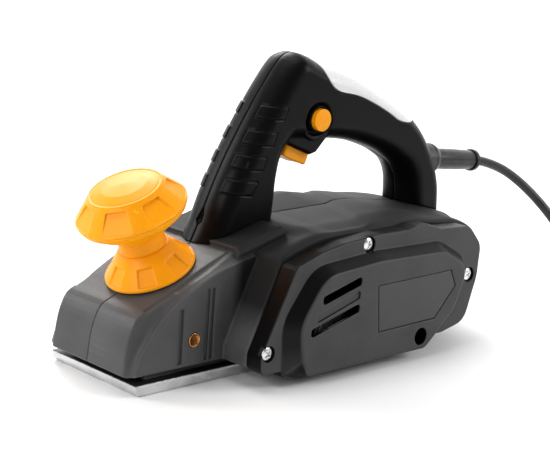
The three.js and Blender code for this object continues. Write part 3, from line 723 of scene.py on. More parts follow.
def cord():
    points = cord_points()
    curve = bpy.data.curves.new("cord", "CURVE")
    curve.dimensions = "3D"
    spline = curve.splines.new("NURBS")
    spline.points.add(len(points) - 1)
    for point, at in zip(spline.points, points):
        point.co = (*(at * MM), 1)
    spline.order_u = 4
    spline.use_endpoint_u = True
    spline.resolution_u = 4
    curve.bevel_depth = CORD_RADIUS * MM
    curve.bevel_resolution = 4
    curve.use_fill_caps = True
    piece = bpy.data.objects.new("cord", curve)
    bpy.context.scene.collection.objects.link(piece)
    curve.materials.append(RUBBER)
    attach(piece, "main")
    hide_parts("cord_tube", "cord_coil")
    return piece, points


def plug():
    """A moulded plug: a ribbed grip, a flat-sided body and two round pins."""
    g = Grid((431, -64, 0), (469, 1, 36), 0.5)
    x, y, z = g.x - PLUG.x, g.y, g.z - PLUG.z
    along = smooth(
        [(-62.5, 5.4), (-54, 6.4), (-45, 8.2), (-37, 14.5), (-31, 17.3), (-22, 17.3)], 24
    )
    radius = np.interp(g.y, [p[0] for p in along], [p[1] for p in along]).astype(np.float32)
    d = both((np.hypot(x, z) - radius) * 0.9, span(y, -62.3, -20.3), 1.2)
    for k in range(5):
        ring = np.hypot(np.hypot(x, z) - (6.4 + 0.5 * k), y + 59 - 3.4 * k) - 1.0
        d = cut(d, ring, 0.3)
    d = cut(d, both(span(x, -11, 11), both(span(y, -40, -26), 14 - np.abs(z)), 0.5), 0.4)
    for side in (-9.5, 9.5):
        pin = both(np.hypot(x - side, z) - 2.4, span(y, -22, -1.2), 0.8)
        d = join(d, pin)
    piece = mesh_piece("plug", g, d, "main", ["cord_plug"], RUBBER)
    piece.data.materials.append(SCREW)
    for polygon in piece.data.polygons:
        if polygon.center.y > -0.0199:
            polygon.material_index = 1
    return piece


lead, lead_points = cord()
plug_piece = plug()


# ---------- housing ----------
# along X: the height of the roof's middle, and how much of the left shoulder's fall it takes
RIDGE = [
    (-84, 70, 0.45), (-62, 79, 0.18), (-44, 84.5, 0.1), (-22, 88.8, 0.1), (18, 90, 0.15),
    (44, 90.3, 0.15),
    (63, 89.8, 0.12), (84, 86.8, 0.1), (100, 85.2, 0.1), (118, 82.3, 0.1), (134, 77.8, 0.12),
    (146, 71, 0.2),
]
MID_SEAM = 0.15


def body_top(g, inset):
    """Distance to the body's low roof, with a crease across it and a dip beside the collar."""
    curve = np.array(smooth(RIDGE, 160))
    x, y = g.x[:, 0, 0], g.y[0, :, 0]
    top, drop = np.interp(x, curve[:, 0], curve[:, 1]), np.interp(x, curve[:, 0], curve[:, 2])
    left, right = BODY_LEFT + inset, BODY_RIGHT - inset
    section = smooth([
        (left, 11, 1), (left + 4, 7.5, 0), (left + 12, 4.5, 0), (left + 22, 2, 0),
        (left + 34, 0, 0.6),
        (0, 0, 0), (right - 24, 0, 0.7), (right - 13, 0, 3), (right - 6, 0, 8), (right - 2, 0, 15),
        (right, 0, 24),
    ], 80)
    section = np.array(section)
    by_drop, fixed = (np.interp(y, section[:, 0], section[:, k]) for k in (1, 2))
    height = top[:, None] - drop[:, None] * by_drop[None, :] - fixed[None, :] - inset
    beyond = (x[:, None] - 46) * 0.92 - y[None, :] * 0.386
    ahead = np.clip((x[:, None] + 26) / 16, 0, 1) * np.clip((y[None, :] + 62) / 8, 0, 1)
    height = height - 1.9 * np.clip(-beyond / 8, 0, 1) * ahead
    far = np.clip(y / 26, 0, 1)[None, :] * np.clip((58 - x) / 30, 0, 1)[:, None]
    height = height + 4.5 * far * np.clip((x + 60) / 30, 0, 1)[:, None]
    corner = np.maximum(x[:, None] - 96, 0) ** 2 * np.clip((-y[None, :] - 25) / 30, 0, 1)
    height = height - 0.008 * corner
    fade, hump = np.clip((-22 - x) / 14, 0, 1), np.clip(1 - np.abs(y + 38) / 20, 0, 1)
    height = height - 4.5 * (fade**2 * (3 - 2 * fade))[:, None] * (
        hump**2 * (3 - 2 * hump)
    )[None, :]
    slope = np.hypot(*np.gradient(height, g.step))
    distance = (g.z - height[:, :, None]) / np.sqrt(1 + slope**2)[:, :, None]
    return distance.astype(np.float32)


def body_block(g, inset, r):
    plan = outline(g.x, g.y, rounded([
        (-90, -70), (112 - inset, -70, 20), (144 - inset, -34, 22),
        (146 - inset, 0), (146 - inset, 56, 16), (-90, 56),
    ]))
    side = outline(g.x, g.z, rounded([
        (-84 + inset, HOUSING_BOTTOM - inset), (-84 + inset, 22, 6), (-59 + inset, 78),
        (-59 + inset, 120),
        (146 - inset, 120), (146 - inset, 40, 20), (124 - inset, HOUSING_BOTTOM - inset, 12),
    ]))
    walls = span(g.y, BODY_LEFT + inset, BODY_RIGHT - inset)
    return both(both(both(body_top(g, inset), walls, r), plan, r), side, r)


def nose(g):
    """The tall middle of the nose and its lower sides, with a cove between them."""
    front = smooth(
        [(-156, HOUSING_BOTTOM), (-155.2, 24), (-152.5, 36), (-147.5, 45.5), (-139, deck_z(-139))],
        12,
    )
    middle = front + [(-78, deck_z(-78)), (-60, deck_z(-78)), (-60, HOUSING_BOTTOM)]
    top = smooth([
        (-153, HOUSING_BOTTOM), (-149.4, 23.2), (-142.6, 34.2), (-135.7, 42.8), (-125, 51.6),
        (-106.4, 62), (-86.4, 70), (-62, 75),
    ], 24)
    tall = slab(g, middle, -35, 35, 1.6)
    low = slab(g, top + [(-60, HOUSING_BOTTOM)], -SHOE_HALF, SHOE_HALF, 0.8)
    return join(tall, low, 5.5)


def collar(g):
    """A band round the foot of the column, with a bevelled side; its top is dark only from the housing's
    painted shade.
    """
    points = [(-75, 72.5), (-75, 79.4), (-36.5, 89.3), (-34, 82.8), (-34, 72.5)]
    d = slab(g, points, -38.5, 38.5, 0.7)
    top = 79.4 + (g.x + 75) * 0.257
    return both(d, (np.abs(g.y) - 35.5 + (g.z - top) * 0.8) * 0.78, 0.4)


def nose_pocket(g):
    rear = [(-60, deck_z(-78) - 3.3), (-60, 0)]
    middle = [
        (-152, 0), (-151, 30), (-144.5, 43.5), (-138, deck_z(-138) - 3.3), (-78, deck_z(-78) - 3.3)
    ] + rear
    sides = [(-148, 0), (-145, 22), (-131, 41.5), (-104, 58.5), (-60, 70.5), (-60, 0)]
    return join(slab(g, middle, -32, 32), slab(g, sides, -38, 38))


def housing_side(name, side):
    """One half of the motor housing: side is -1 for the belt side and 1 for the chip side."""
    low, high = ((-160, -62.5, 9), (148, 0.6, 104)) if side < 0 else (
        (-160, -0.6, 9), (148, 53, 104)
    )
    g = Grid(low, high, 0.62)
    skin = join(join(nose(g), body_block(g, 0, 1.6), 1.2), collar(g), 0.3)
    bosses = turned(g, [(0, -14), (10, -14), (10, -3), (0, -3)], KNOB_FOOT, KNOB_AXIS)
    d = cut(cut(skin, nose_pocket(g)), body_block(g, WALL, 1))
    d = join(d, bosses)
    if side < 0:
        d = join(join(d, bar(g, *FENCE_THREAD, 6.5, -38.5, -33)), bar(g, *MOTOR, 14, -59.5, -43.2))
        for tool in (
            bar(g, *FENCE_THREAD, 4.6, -43, -32), bar(g, *MOTOR, 11.3, -51, -40),
            bar(g, *MOTOR, 7, -65, -50),
            bar(g, *DRUM, 15, -65, -55),
        ):
            d = cut(d, tool, 0.3)
        for x, z in COVER_SCREWS:
            d = cut(d, bar(g, x, z, 1.9, -70, -50))
    else:
        d = join(d, bar(g, *MOTOR, 12.5, 43.5, 49.5))
        d = cut(d, bar(g, *MOTOR, 9.8, 40, 48))
        d = cut(d, bar(g, *CHIP, 15.2, 40, 60), 0.4)
        for dz in (-24, -16, -8, 8, 16, 24):
            z = MOTOR[1] + dz
            x0, x1, z0, z1, r = MOTOR[0] - 16, MOTOR[0] + 16, z - 1.7, z + 1.7, 1.6
            slot = [(x0, z0, r), (x1, z0, r), (x1, z1, r), (x0, z1, r)]
            d = cut(d, slab(g, rounded(slot), 46, 56), 0.4)
    d = cut(d, turned(g, [(0, -20), (4.5, -20), (4.5, 10), (0, 10)], KNOB_FOOT, KNOB_AXIS))
    d = cut(d, box(g, -66, 6, -52, 48.8, 0, 40))
    d = cut(d, box(g, -100, 110, -37.5, 37.5, 0, 18))
    for x0, x1, top in ((-120.6, -117.2, 48.6), (-99.4, -97.1, 58.6), (-95.6, -93.3, 58.6)):
        for face in (-SHOE_HALF, SHOE_HALF):
            d = cut(d, box(g, x0, x1, face - 1.8, face + 1.8, 14.5, top))
    # the step along the deck's edge
    deck = (g.z - deck_z(g.x)) * math.cos(TILT)
    ledge = both(both(31.4 - np.abs(g.y), -(deck + 0.9)), span(g.x, -141, -75.6))
    d = cut(d, both(ledge, -span(g.z, -50, 40)), 0.15)
    d = both(d, (g.y if side < 0 else -g.y) + MID_SEAM, 0.35)
    return mesh_piece(name + "_shell", g, d, "main", [name], HOUSING, 0.28)


# ---------- handle ----------
HANDLE_TOP = smooth([
    (-80.5, 75), (-73.6, 88.9), (-65.5, 108.4), (-53.5, 131.6), (-35.5, 160.2), (-17, 184.6),
    (-7.5, 191.4), (1.5, 190.6), (13.9, 185.6), (27, 182.6), (43.5, 177.7), (62.8, 169.2),
    (85.1, 158), (102, 148.6), (114, 139.5), (125, 127), (134.5, 111), (140, 96), (142, 78),
], 72)
REAR_INSIDE = smooth([
    (107, 74), (106.7, 88), (104.8, 101), (98.5, 110.5), (90, 116.5), (77, 123),
    (59, 129), (43, 132.6), (28, 134.4), (14, 135.2),
], 32)
COLUMN_INSIDE = smooth([(-10.5, 136), (-16.2, 128.5), (-19.4, 115), (-20.4, 100), (-21.8, 80)], 14)
INSERT_EDGE = smooth([
    (9, 200), (10.5, 187), (15.5, 175), (25, 167.6), (42.9, 163.8), (58.9, 158), (75.7, 150.2),
    (88, 143.9), (104, 142.6), (113, 150),
], 40)
PADS = [
    [(-60, 162.7), (-20.1, 159.5), (-23.7, 151.5), (-64, 155)],
    [(-70, 147.9), (-28.2, 144.2), (-31.7, 135.6), (-74, 139.8)],
    [(-78, 133.9), (-35.9, 128.9), (-39.2, 120.6), (-82, 125.9)],
    [(-84, 119.2), (-42.6, 114), (-46.9, 105.2), (-88, 110.7)],
]


def handle_outline(g):
    points = [(-118, 0)] + HANDLE_TOP + [
        (143, 0), (104, 0)
    ] + REAR_INSIDE + COLUMN_INSIDE + [(-30, 0)]
    return outline(g.x, g.z, points)


def handle_skin(g, flat, inset):
    """The grip's rounded skin, moved in by an inset."""
    return both(flat + inset, (np.abs(g.y) - HANDLE_HALF + inset) * 0.75, HANDLE_ROUND - inset)


def insert_region(g, grow):
    return outline(g.x, g.z, INSERT_EDGE + [(120, 200)]) - grow


def trigger_outline(up, down, grow):
    rear, front = (11 + grow, 125.2), (-10 - grow, 133.4)

    def at(point, h):
        return (point[0] + PUSH[0] * h, point[1] + PUSH[1] * h)

    foot = [at(front, -down), at((-1, 129.9), -down - 0.6), at(rear, -down)]
    return rounded([at(front, up), (*foot[0], 2.6), (*foot[1], 2), (*foot[2], 2.6), at(rear, up)])


def handle_side(name, side):
    low, high = ((-92, -20, 62), (146, 0.6, 193)) if side < 0 else ((-92, -0.6, 62), (146, 20, 193))
    g = Grid(low, high, 0.58)
    flat = handle_outline(g)
    skin = handle_skin(g, flat, 0)
    pads = np.float32(1e3)
    for pad in PADS:
        pads = np.minimum(pads, outline(g.x, g.z, pad))
    pads = both(pads, 7.5 - np.abs(g.y), 0.6)
    d = cut(skin, np.hypot(np.abs(pads), skin) - 0.42, 0.15)
    d = join(d, both(skin - 0.55, pads + 0.4, 0.5), 0.1)
    core = handle_skin(g, flat, HANDLE_WALL)
    d = cut(d, core)
    boss_points = rounded(
        [(-17, 146), (-15, 135.2), (8, 126, 1.5), (13.5, 127.5, 2), (24, 138), (22, 146)]
    )
    d = join(d, slab(g, boss_points, -13, 13, 2.5), 1.5)
    for x, z in HANDLE_SCREWS:
        d = join(d, bar(g, x, z, 5, -15.5, 15.5))
    if side < 0:
        d = join(d, bar(g, *LOCK[:2], 14, -16, -10.5))
        radius = np.hypot(g.x - LOCK[0], g.z - LOCK[1])
        off = np.hypot(g.x - LOCK[0] + 0.8, g.z - LOCK[1] + 0.6)
        bowl = both((off - 12.2 + (g.y + 18.2) * 0.62) * 0.85, span(g.y, -30, -13.2))
        d = cut(d, bowl, 0.35)
        lip = both(np.abs(radius - 8.3) - 0.5, span(g.y, -17.4, -12), 0.3)
        d = join(d, lip, 0.3)
        d = cut(d, bar(g, *LOCK[:2], LOCK[2] + 0.4, -24, -8), 0.15)
    else:
        for x, z in HANDLE_SCREWS:
            d = cut(cut(d, bar(g, x, z, 4.2, 12.6, 24), 0.3), bar(g, x, z, 2.1, -9, 20))
    d = cut(d, insert_region(g, 0.25), 0.3)
    d = cut(d, slab(g, trigger_outline(14, 20, 0.5), -9, 9), 0.25)
    d = cut(d, turned(g, [(0, -1), (11.3, -1), (11.3, 30), (0, 30)], CORD_START, CORD_AXIS), 0.3)
    notch_width = 0.3 + 2.6 * np.clip((97 - g.z) / 8, 0, 1) * np.clip((g.z - 86.5) / 2.5, 0, 1)
    notch = both(both(np.abs(g.y) - notch_width, span(g.z, 86.5, 97)), -(skin + 1.6))
    d = cut(d, both(notch, g.x + 50), 0.1)
    # the foot follows the deck, the collar and the housing's roof
    footprint = join(join(nose(g), body_block(g, 0, 1.6)), collar(g))
    d = cut(d, footprint - 0.2, 0.2)
    d = both(d, g.y + MID_SEAM if side < 0 else MID_SEAM - g.y, 0.35)
    return mesh_piece(name + "_shell", g, d, "main", [name], GRIP, 0.3)


def insert_piece():
    g = Grid((5, -19, 138), (120, 19, 190), 0.45)
    flat = handle_outline(g)
    shell = cut(handle_skin(g, flat, 0), handle_skin(g, flat, HANDLE_WALL))
    d = both(shell, insert_region(g, -0.05), 0.5)
    return mesh_piece(
        "handle_insert_shell", g, d, "main", ["handle_insert"], WHITE, 0.5
    )


def trigger_piece():
    g = Grid((-16, -9, 114), (19, 9, 142), 0.3)
    d = both(outline(g.x, g.z, trigger_outline(6, 7.6, 0)), span(g.y, -8.4, 8.4), 1.8)
    # a shallow hollow for the finger
    across = g.y / 8.4
    push = PUSH[0] * (g.x - 0.5) + PUSH[1] * (g.z - 129.3)
    d = both(d, -(push + 7.9 - 0.9 * (1 - across**2)), 0.8)
    return mesh_piece(
        "trigger_blade", g, d, "trigger_body", ["trigger"], YELLOW, 0.6
    )


def lock_button():
    g = Grid((-1, -22, 140), (19, -11, 160), 0.22)
    radius = np.hypot(g.x - LOCK[0], g.z - LOCK[1])
    dome = both(radius - LOCK[2], span(g.y, -21.2, -16.5), 0.9)
    dome = both(dome, -(g.y + 21.2 - 0.5 * (radius / LOCK[2]) ** 2), 0.3)
    d = join(dome, both(radius - 3.2, span(g.y, -17, -11.6)))
    return mesh_piece(
        "lock_button_cap", g, d, "lock_button", ["lock_off_button"], YELLOW, 0.6
    )


# ---------- belt cover ----------
def cover_outline(inset):
    return rounded([
        (-84.5 + inset, 10.8 + inset, 5), (-84.7 + inset, 22, 8), (-59.6 + inset, 74.5 - inset, 5),
        (-39, 81.2 - inset, 20), (-19.4, 84.6 - inset, 30), (10.2, 86.6 - inset, 30),
        (38, 86.4 - inset, 8),
        (46, 88.4 - inset, 5), (57, 88.4 - inset, 6), (72, 83.6 - inset, 8),
        (101 - inset, 82 - inset, 9),
        (114.4 - inset, 68 - inset, 12), (113.4 - inset, 46, 30), (104 - inset, 16 + inset, 14),
        (82, 11.4 + inset, 10), (60, 11 + inset),
    ])


def bulge(g, inset):
    """The cover's raised middle, wide at the foot and smaller at its outer face."""
    foot = rounded([
        (-68.2 + inset, 7 + inset, 4), (-69.6 + inset, 42, 26), (-46 + inset, 73.4 - inset, 26),
        (8, 77 - inset, 60), (70 - inset, 76 - inset, 20), (100 - inset, 60 - inset, 14),
        (90 - inset, 28, 20), (64 - inset, 7.4 + inset, 10),
    ], 12)
    face = rounded([
        (-54 + inset, 6.8 + inset, 5), (-61 + inset, 40, 24), (-42 + inset, 68 - inset, 22),
        (8, 71.6 - inset, 60), (68 - inset, 70.4 - inset, 14), (93 - inset, 56 - inset, 12),
        (82 - inset, 30, 20), (56 - inset, 6.8 + inset, 8),
    ], 12)
    t = np.clip((COVER_FACE - g.y) / (COVER_FACE - BULGE_FACE), 0, 1)
    wall = outline(g.x, g.z, foot) * (1 - t) + outline(g.x, g.z, face) * t
    front, back = BULGE_FACE + inset * 0.8, BODY_LEFT + 1 if inset else BODY_LEFT - 0.3
    return both(wall * 0.8, span(g.y, front, back), 0 if inset else 1.1)


def cover_piece():
    g = Grid((-86, -84, 5.5), (116, -61, 90), 0.5)
    rim = cut(
        slab(g, cover_outline(0), COVER_FACE, BODY_LEFT - 0.3, 0.8),
        slab(g, cover_outline(2.4), COVER_FACE + 2.6, BODY_LEFT + 1),
    )
    for x, z in COVER_SCREWS:
        post = both(
            bar(g, x, z, 6.6, COVER_FACE + 1, BODY_LEFT - 0.3),
            outline(g.x, g.z, cover_outline(0.3)),
        )
        rim = join(rim, post)
    d = join(rim, bulge(g, 0), 0.5)
    d = cut(d, bulge(g, 2.4))

    def slot(x0, z0, x1, z1, half, y0, y1):
        r = 2.2
        ends = [(x0, z0 - half, r), (x1, z1 - half, r), (x1, z1 + half, r), (x0, z0 + half, r)]
        return slab(g, rounded(ends), y0, y1)

    d = cut(d, slot(-43.5, 53.2, -10.6, 61.8, 2.7, -90, -76), 0.4)
    d = cut(d, slot(-52, 33.9, -10.8, 44.6, 2.7, -90, -76), 0.4)
    shallow = slot(-47.8, 42.6, -11, 53.2, 2.7, -90, BULGE_FACE + 1.2)
    d = cut(d, shallow, 0.3)
    label = [(5, 56.2), (75.4, 57.4), (81.2, 46), (62.6, 26.2), (8.6, 25.2)]
    d = cut(d, slab(g, label, -90, BULGE_FACE + 0.9), 0.2)
    d = cut(d, bar(g, 50.4, 15.8, 5.7, -90, -60), 0.5)
    for x, z in COVER_SCREWS:
        d = cut(d, bar(g, x, z, 5, -90, COVER_FACE + 3.2), 0.5)
        d = cut(d, bar(g, x, z, 2.3, -90, -50))
    return mesh_piece(
        "belt_cover_shell", g, d, "main", ["belt_cover"], COVER, 0.34
    )


def label_piece():
    g = Grid((4, -83.5, 25), (82, -81.8, 58.5), 0.3)
    points = [(5.6, 55.7), (74.9, 56.9), (80.6, 46.1), (62.4, 26.7), (9.1, 25.7)]
    d = slab(g, rounded([(*p, 0.8) for p in points]), BULGE_FACE + 0.1, BULGE_FACE + 0.8, 0.25)
    return mesh_piece("blank_label", g, d, "main", ["label_plate"], LABEL, 0.15)


def cover_screw(index, x, z):
    """A pan head with a cross recess."""
    g = Grid((x - 5, -76, z - 5), (x + 5, -70, z + 5), 0.17)
    u, v = g.x - x, g.z - z
    radius = np.hypot(u, v)
    d = both(radius - 4.2, span(g.y, COVER_FACE + 0.55, COVER_FACE + 2.9), 0.8)
    d = both(d, -(g.y - (COVER_FACE + 0.5) - 0.9 * (radius / 4.2) ** 2), 0.2)
    turn = math.radians(18 + 31 * index)
    a, b = u * math.cos(turn) + v * math.sin(turn), v * math.cos(turn) - u * math.sin(turn)
    for p, q in ((a, b), (b, a)):
        taper = 0.62 - (g.y - (COVER_FACE + 0.5)) * 0.12
        d = cut(d, both(both(np.abs(p) - taper, np.abs(q) - 2.5), g.y - (COVER_FACE + 2.2)), 0.12)
    shank = both(radius - 1.6, span(g.y, COVER_FACE + 2.4, -70.4))
    d = join(d, shank)
    return mesh_piece(
        f"cover_screw_head_{index}", g, d, "main", [f"cover_screw_{index}"], SCREW, 0.6
    )


def handle_screw(index, x, z):
    g = Grid((x - 4.5, 8, z - 4.5), (x + 4.5, 16, z + 4.5), 0.17)
    u, v = g.x - x, g.z - z
    radius = np.hypot(u, v)
    d = both(radius - 3.7, span(g.y, 12.9, 15.2), 0.7)
    turn = math.radians(12 + 40 * index)
    a, b = u * math.cos(turn) + v * math.sin(turn), v * math.cos(turn) - u * math.sin(turn)
    for p, q in ((a, b), (b, a)):
        d = cut(d, both(both(np.abs(p) - 0.6, np.abs(q) - 2.2), 13.6 - g.y), 0.12)
    d = join(d, both(radius - 1.7, span(g.y, 8.6, 13.5)))
    return mesh_piece(
        f"handle_screw_head_{index}", g, d, "main", [f"handle_screw_{index}"], SCREW, 0.6
    )


def thread_insert():
    """A brass bush with a thread cut in it."""
    g = Grid((-113, -41.5, 23), (-103, -33, 33.5), 0.16)
    u, v = g.x - FENCE_THREAD[0], g.z - FENCE_THREAD[1]
    radius = np.hypot(u, v)
    d = both(radius - 4.4, span(g.y, -41.2, -33.5), 0.35)
    pitch = 1.25
    phase = (g.y - np.arctan2(v, u) / (2 * math.pi) * pitch) / pitch
    wave = np.abs(phase - np.round(phase)) * 2
    d = cut(d, radius - 2.95 - 0.55 * wave)
    d = cut(d, both(radius - 3.7 + (g.y + 41.2), span(g.y, -43, -40)))
    return mesh_piece("thread_bush", g, d, "main", ["fence_thread_insert"], BRASS, 0.5)


# ---------- knob ----------
BASE_PROFILE = [
    (0, 31), (4.3, 31), (4.3, 0), (28.4, 0), (28.4, 1.6), (16.4, 16), (14.6, 18), (14.2, 24.5),
    (17, 28.4), (26, 33), (32.6, 38), (34.6, 41.8), (0, 41.8),
]
CAP_PROFILE = [
    (0, 42.1), (34.6, 42.1), (34.4, 43.4), (23.6, 55.8), (22.2, 56.4), (14, 58.6), (0, 59.8)
]
KNOB_PLACE = Matrix.Translation(KNOB_FOOT) @ KNOB_AXIS.to_track_quat("Z", "X").to_matrix().to_4x4()
KNOB_RECESSES = 7


def local_angle(degrees):
    """The angle in the knob's own frame of a direction in plan."""
    angle = math.radians(degrees)
    way = KNOB_PLACE.to_3x3().transposed() @ Vector((math.cos(angle), math.sin(angle), 0))
    return math.atan2(way.y, way.x)


def cone_pockets(g, foot, tip, phase, s0, s1, wide, narrow, low, high):
    """Flat-floored pockets round a cone, low deep at its foot and high at its tip."""
    angle = np.arctan2(g.y, g.x) - phase
    step = 2 * math.pi / KNOB_RECESSES
    angle = angle - step * np.round(angle / step)
    radius = np.hypot(g.x, g.y)
    t, u = radius * np.sin(angle), radius * np.cos(angle)
    slope = np.array(tip, float) - np.array(foot, float)
    length = np.linalg.norm(slope)
    slope /= length
    s = (u - foot[0]) * slope[0] + (g.z - foot[1]) * slope[1]
    n = (u - foot[0]) * slope[1] - (g.z - foot[1]) * slope[0]
    share = np.clip(s / length, 0, 1)
    plan = both(np.abs(t) - wide - (narrow - wide) * share, span(s, s0, s1), 0.8)
    return both(plan, -(n + low + (high - low) * share))


def turned_up(g, profile):
    radius = np.hypot(g.x, g.y)
    return lathe(
        radius, np.broadcast_to(g.z, np.broadcast_shapes(radius.shape, g.z.shape)), profile
    )


def ring_line(g, radius, height, r):
    return np.hypot(np.hypot(g.x, g.y) - radius, g.z - height) - r


def knob():
    g = Grid((-35, -35, 41.5), (35, 35, 60.3), 0.42)
    d = turned_up(g, CAP_PROFILE)
    d = cut(
        d,
        cone_pockets(g, (34.4, 43.4), (23.6, 55.8), local_angle(213), 0.4, 14.8, 9.8, 6.0, 0.9, 2.3),
        0.3,
    )
    d = join(d, ring_line(g, 22.6, 56.3, 0.55), 0.5)
    d = cut(d, ring_line(g, 21.2, 57.2, 0.6), 0.5)
    mesh_piece("knob_top", g, d, "knob", ["knob_cap"], YELLOW, 0.6, KNOB_PLACE)
    g = Grid((-35, -35, -0.4), (35, 35, 42.2), 0.5)
    d = turned_up(g, BASE_PROFILE)
    d = cut(d, ring_line(g, 15.2, 17.5, 0.8), 0.2)
    d = cut(
        d,
        cone_pockets(g, (28.4, 1.6), (16.4, 16), local_angle(225), 1.6, 13.0, 5.9, 3.8, 1.0, 2.0),
        0.3,
    )
    mesh_piece("knob_foot", g, d, "knob", ["knob_base"], YELLOW, 0.6, KNOB_PLACE)


# ---------- shoes ----------
def front_shoe():
    g = Grid((-153, -41.5, -0.3), (-19, 41.5, 46), 0.6)
    d = box(g, -152, -20, -SHOE_HALF, SHOE_HALF, 0.02, SHOE_TOP, 0.5)
    d = both(d, ((-152 + 1.6 - g.x) + (1.6 - g.z)) * 0.707, 0.3)
    boss = turned(g, [(0, -64), (13, -64), (12, -32), (0, -32)], KNOB_FOOT, KNOB_AXIS)
    d = join(d, both(boss, -g.z), 1.5)
    for y in (-33, 33):
        d = join(d, box(g, -141, -62, y - 1.5, y + 1.5, 6, 14, 0.3), 0.8)
    d = cut(d, turned(g, [(0, -57), (4.4, -57), (4.4, -20), (0, -20)], KNOB_FOOT, KNOB_AXIS))
    d = cut(d, bar(g, *DRUM, DRUM_CLEARANCE, -50, 50), 0.3)
    d = cut(d, bar(g, DRUM[0] + 2.2 * math.sin(TILT), DRUM[1] - 2, DRUM_CLEARANCE, -50, 50), 0.3)
    return mesh_piece(
        "front_sole", g, d, "front_shoe_body", ["front_shoe"], ALUMINIUM, 0.3
    )


def rear_shoe():
    g = Grid((-46, -51.5, -0.3), (119, 49, 47), 0.62)
    plate = box(g, -20, 118, -SHOE_HALF, SHOE_HALF, 0.02, SHOE_TOP, 0.5)
    d = join(plate, box(g, -4, 108, -37.2, 37.2, 6, 12.1, 0.5), 0.5)
    d = join(d, box(g, 8, 20, -37.2, 37.2, 6, 22))
    d = join(d, box(g, 8, 20, -51, 48.6, 15.8, 22))
    above = box(g, -60, 30, -60, 60, 15.8, 60)
    for y0, y1 in ((-51, -43.3), (43.3, 48.6)):
        lug = join(bar(g, *DRUM, 18, y0, y1, 0.5), box(g, DRUM[0], 20, y0, y1, 15.8, 34), 2)
        d = join(d, both(lug, above), 0.4)
    d = cut(d, bar(g, *DRUM, DRUM_CLEARANCE, -43, 43), 0.2)
    d = cut(d, both(bar(g, *DRUM, 13.4, -60, 60), box(g, -60, 6, -60, 60, 0, 60)), 0.3)
    return mesh_piece("rear_sole", g, d, "main", ["rear_shoe"], ALUMINIUM, 0.3)


# ---------- gland, relief and chip outlet ----------
def axis_place(origin, axis):
    return Matrix.Translation(origin) @ Vector(axis).to_track_quat("Z", "X").to_matrix().to_4x4()


def gland_and_relief():
    g = Grid((-12, -12, -0.4), (12, 12, 18), 0.3)
    d = turned_up(g, [(3.9, 0), (11, 0), (11, 12), (9.8, 15.2), (7.6, 17.2), (3.9, 17.2)])
    d = cut(d, np.hypot(np.hypot(g.x, g.y) - 11.2, g.z - 9.6) - 0.6, 0.4)
    mesh_piece(
        "gland_dome",
        g,
        d,
        "main",
        ["cord_gland"],
        DARK,
        0.5,
        axis_place(CORD_START, CORD_AXIS),
    )
    g = Grid((-9, -9, 17), (9, 9, 64), 0.3)
    barrel = smooth([(7.2, 17.5), (7.5, 26), (7.5, 38), (7.2, 50), (6.9, 58.6)], 20)
    d = turned_up(g, [(3.9, 17.5)] + barrel + [(3.9, 58.6)])
    d = join(d, turned_up(g, [(3.9, 56), (6.2, 56), (6.2, 62), (3.9, 62)]))
    flange = [(3.9, 59.4), (8.0, 59.4), (8.0, 62.4), (7.0, 63.5), (3.9, 63.5)]
    d = join(d, turned_up(g, flange), 0.15)
    mesh_piece(
        "bend_relief",
        g,
        d,
        "main",
        ["strain_relief"],
        RUBBER,
        0.5,
        axis_place(CORD_START, CORD_AXIS),
    )


def chip_spout():
    g = Grid((CHIP[0] - 21, 51.8, CHIP[1] - 21), (CHIP[0] + 21, 72.2, CHIP[1] + 21), 0.45)
    radius = np.hypot(g.x - CHIP[0], g.z - CHIP[1])
    d = both(radius - 20, span(g.y, 52.3, 54.3), 0.5)
    d = join(d, both(radius - 17.4, span(g.y, 52.3, 72), 0.6), 0.8)
    d = join(d, both(radius - 18.3, span(g.y, 68.6, 71.9), 0.6), 0.3)
    d = cut(d, both(radius - 15, span(g.y, 40, 80)), 0.4)
    for k in range(4):
        angle = math.pi / 4 + k * math.pi / 2
        u = (g.x - CHIP[0]) * math.cos(angle) + (g.z - CHIP[1]) * math.sin(angle)
        v = (g.z - CHIP[1]) * math.cos(angle) - (g.x - CHIP[0]) * math.sin(angle)
        rib = both(both(np.abs(v) - 0.8, span(u, 16.6, 19.4)), span(g.y, 53, 60 - (u - 17) * 2))
        d = join(d, rib, 0.4)
    return mesh_piece("chip_spout", g, d, "main", ["chip_outlet"], BLACK, 0.5)


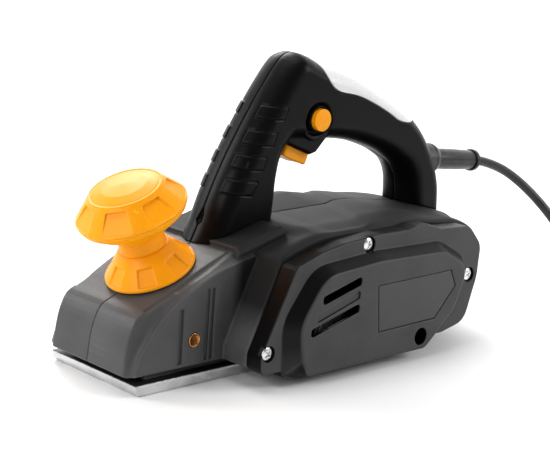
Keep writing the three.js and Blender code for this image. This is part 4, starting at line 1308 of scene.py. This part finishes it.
def spring_coil():
    """The coil spring round the depth spindle; the real one shortens as the shoe rises, and this one
    keeps one length.
    """
    radius, wire, low, high, turns, rings = 7.4, 1.1, -30.4, -15.6, 5, 28
    points, faces = [], []
    for i in range(turns * rings + 1):
        angle = 2 * math.pi * i / rings
        out = Vector((math.cos(angle), math.sin(angle), 0))
        centre = radius * out + Vector((0, 0, low + (high - low) * i / (turns * rings)))
        for k in range(8):
            a = math.pi / 4 * k
            points.append(
                KNOB_PLACE @ (centre + wire * (math.cos(a) * out + Vector((0, 0, math.sin(a)))))
            )
    for i in range(turns * rings):
        for k in range(8):
            a, b = 8 * i + k, 8 * i + (k + 1) % 8
            faces.append((a, b, b + 8, a + 8))
    last = 8 * turns * rings
    for cap in ((0, 1, 2, 3), (0, 3, 4, 7), (4, 5, 6, 7)):
        faces += [tuple(reversed(cap)), tuple(last + k for k in cap)]
    points, faces = np.array([tuple(p) for p in points]) * MM, np.array(faces)
    piece = piece_from("shoe_spring_coil", points, faces, "main", ["shoe_spring"], STEEL)
    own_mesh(piece)


# ---------- pieces that keep their CAD shape ----------
KEPT = {
    "knob_dial_ring": DARK, "depth_spindle": STEEL, "switch_body": DARK,
    "cutter_drum": CAST, "planer_blade_1": STEEL, "planer_blade_2": STEEL, "blade_clamp_1": CAST,
    "blade_clamp_2": CAST, "drum_bearing_left": STEEL, "drum_bearing_right": STEEL,
    "drum_pulley": SCREW,
    "motor_pulley": STEEL, "drive_belt": BELT, "stator_core": STEEL, "stator_winding_left": COPPER,
    "stator_winding_right": COPPER, "armature_shaft": STEEL, "armature_core": STEEL,
    "commutator": COPPER,
    "cooling_fan": DARK, "motor_bearing_left": STEEL, "motor_bearing_right": STEEL,
    "brush_holder_1": BRASS,
    "brush_holder_2": BRASS, "carbon_brush_1": CARBON, "carbon_brush_2": CARBON,
}


def keep_cad_nodes():
    """Gives the inner CAD nodes their finish and soft edges."""
    for name, material in KEPT.items():
        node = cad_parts[name]
        node.data.materials.clear()
        node.data.materials.append(material)
        for polygon in node.data.polygons:
            polygon.material_index = 0
        weld = node.modifiers.new("weld", "WELD")
        weld.merge_threshold = 1e-6
        bevel = node.modifiers.new("bevel", "BEVEL")
        bevel.width = 0.25 * MM
        bevel.segments = 2
        bevel.limit_method = "ANGLE"
        bevel.angle_limit = math.radians(40)


housing_side("housing_left", -1)
housing_side("housing_right", 1)
handle_side("handle_left", -1)
handle_side("handle_right", 1)
insert_piece()
spring_coil()
trigger_piece()
lock_button()
cover_piece()
label_piece()
for number, (screw_x, screw_z) in enumerate(COVER_SCREWS, 1):
    cover_screw(number, screw_x, screw_z)
for number, (screw_x, screw_z) in enumerate(HANDLE_SCREWS, 1):
    handle_screw(number, screw_x, screw_z)
thread_insert()
knob()
front_shoe()
rear_shoe()
gland_and_relief()
chip_spout()
keep_cad_nodes()
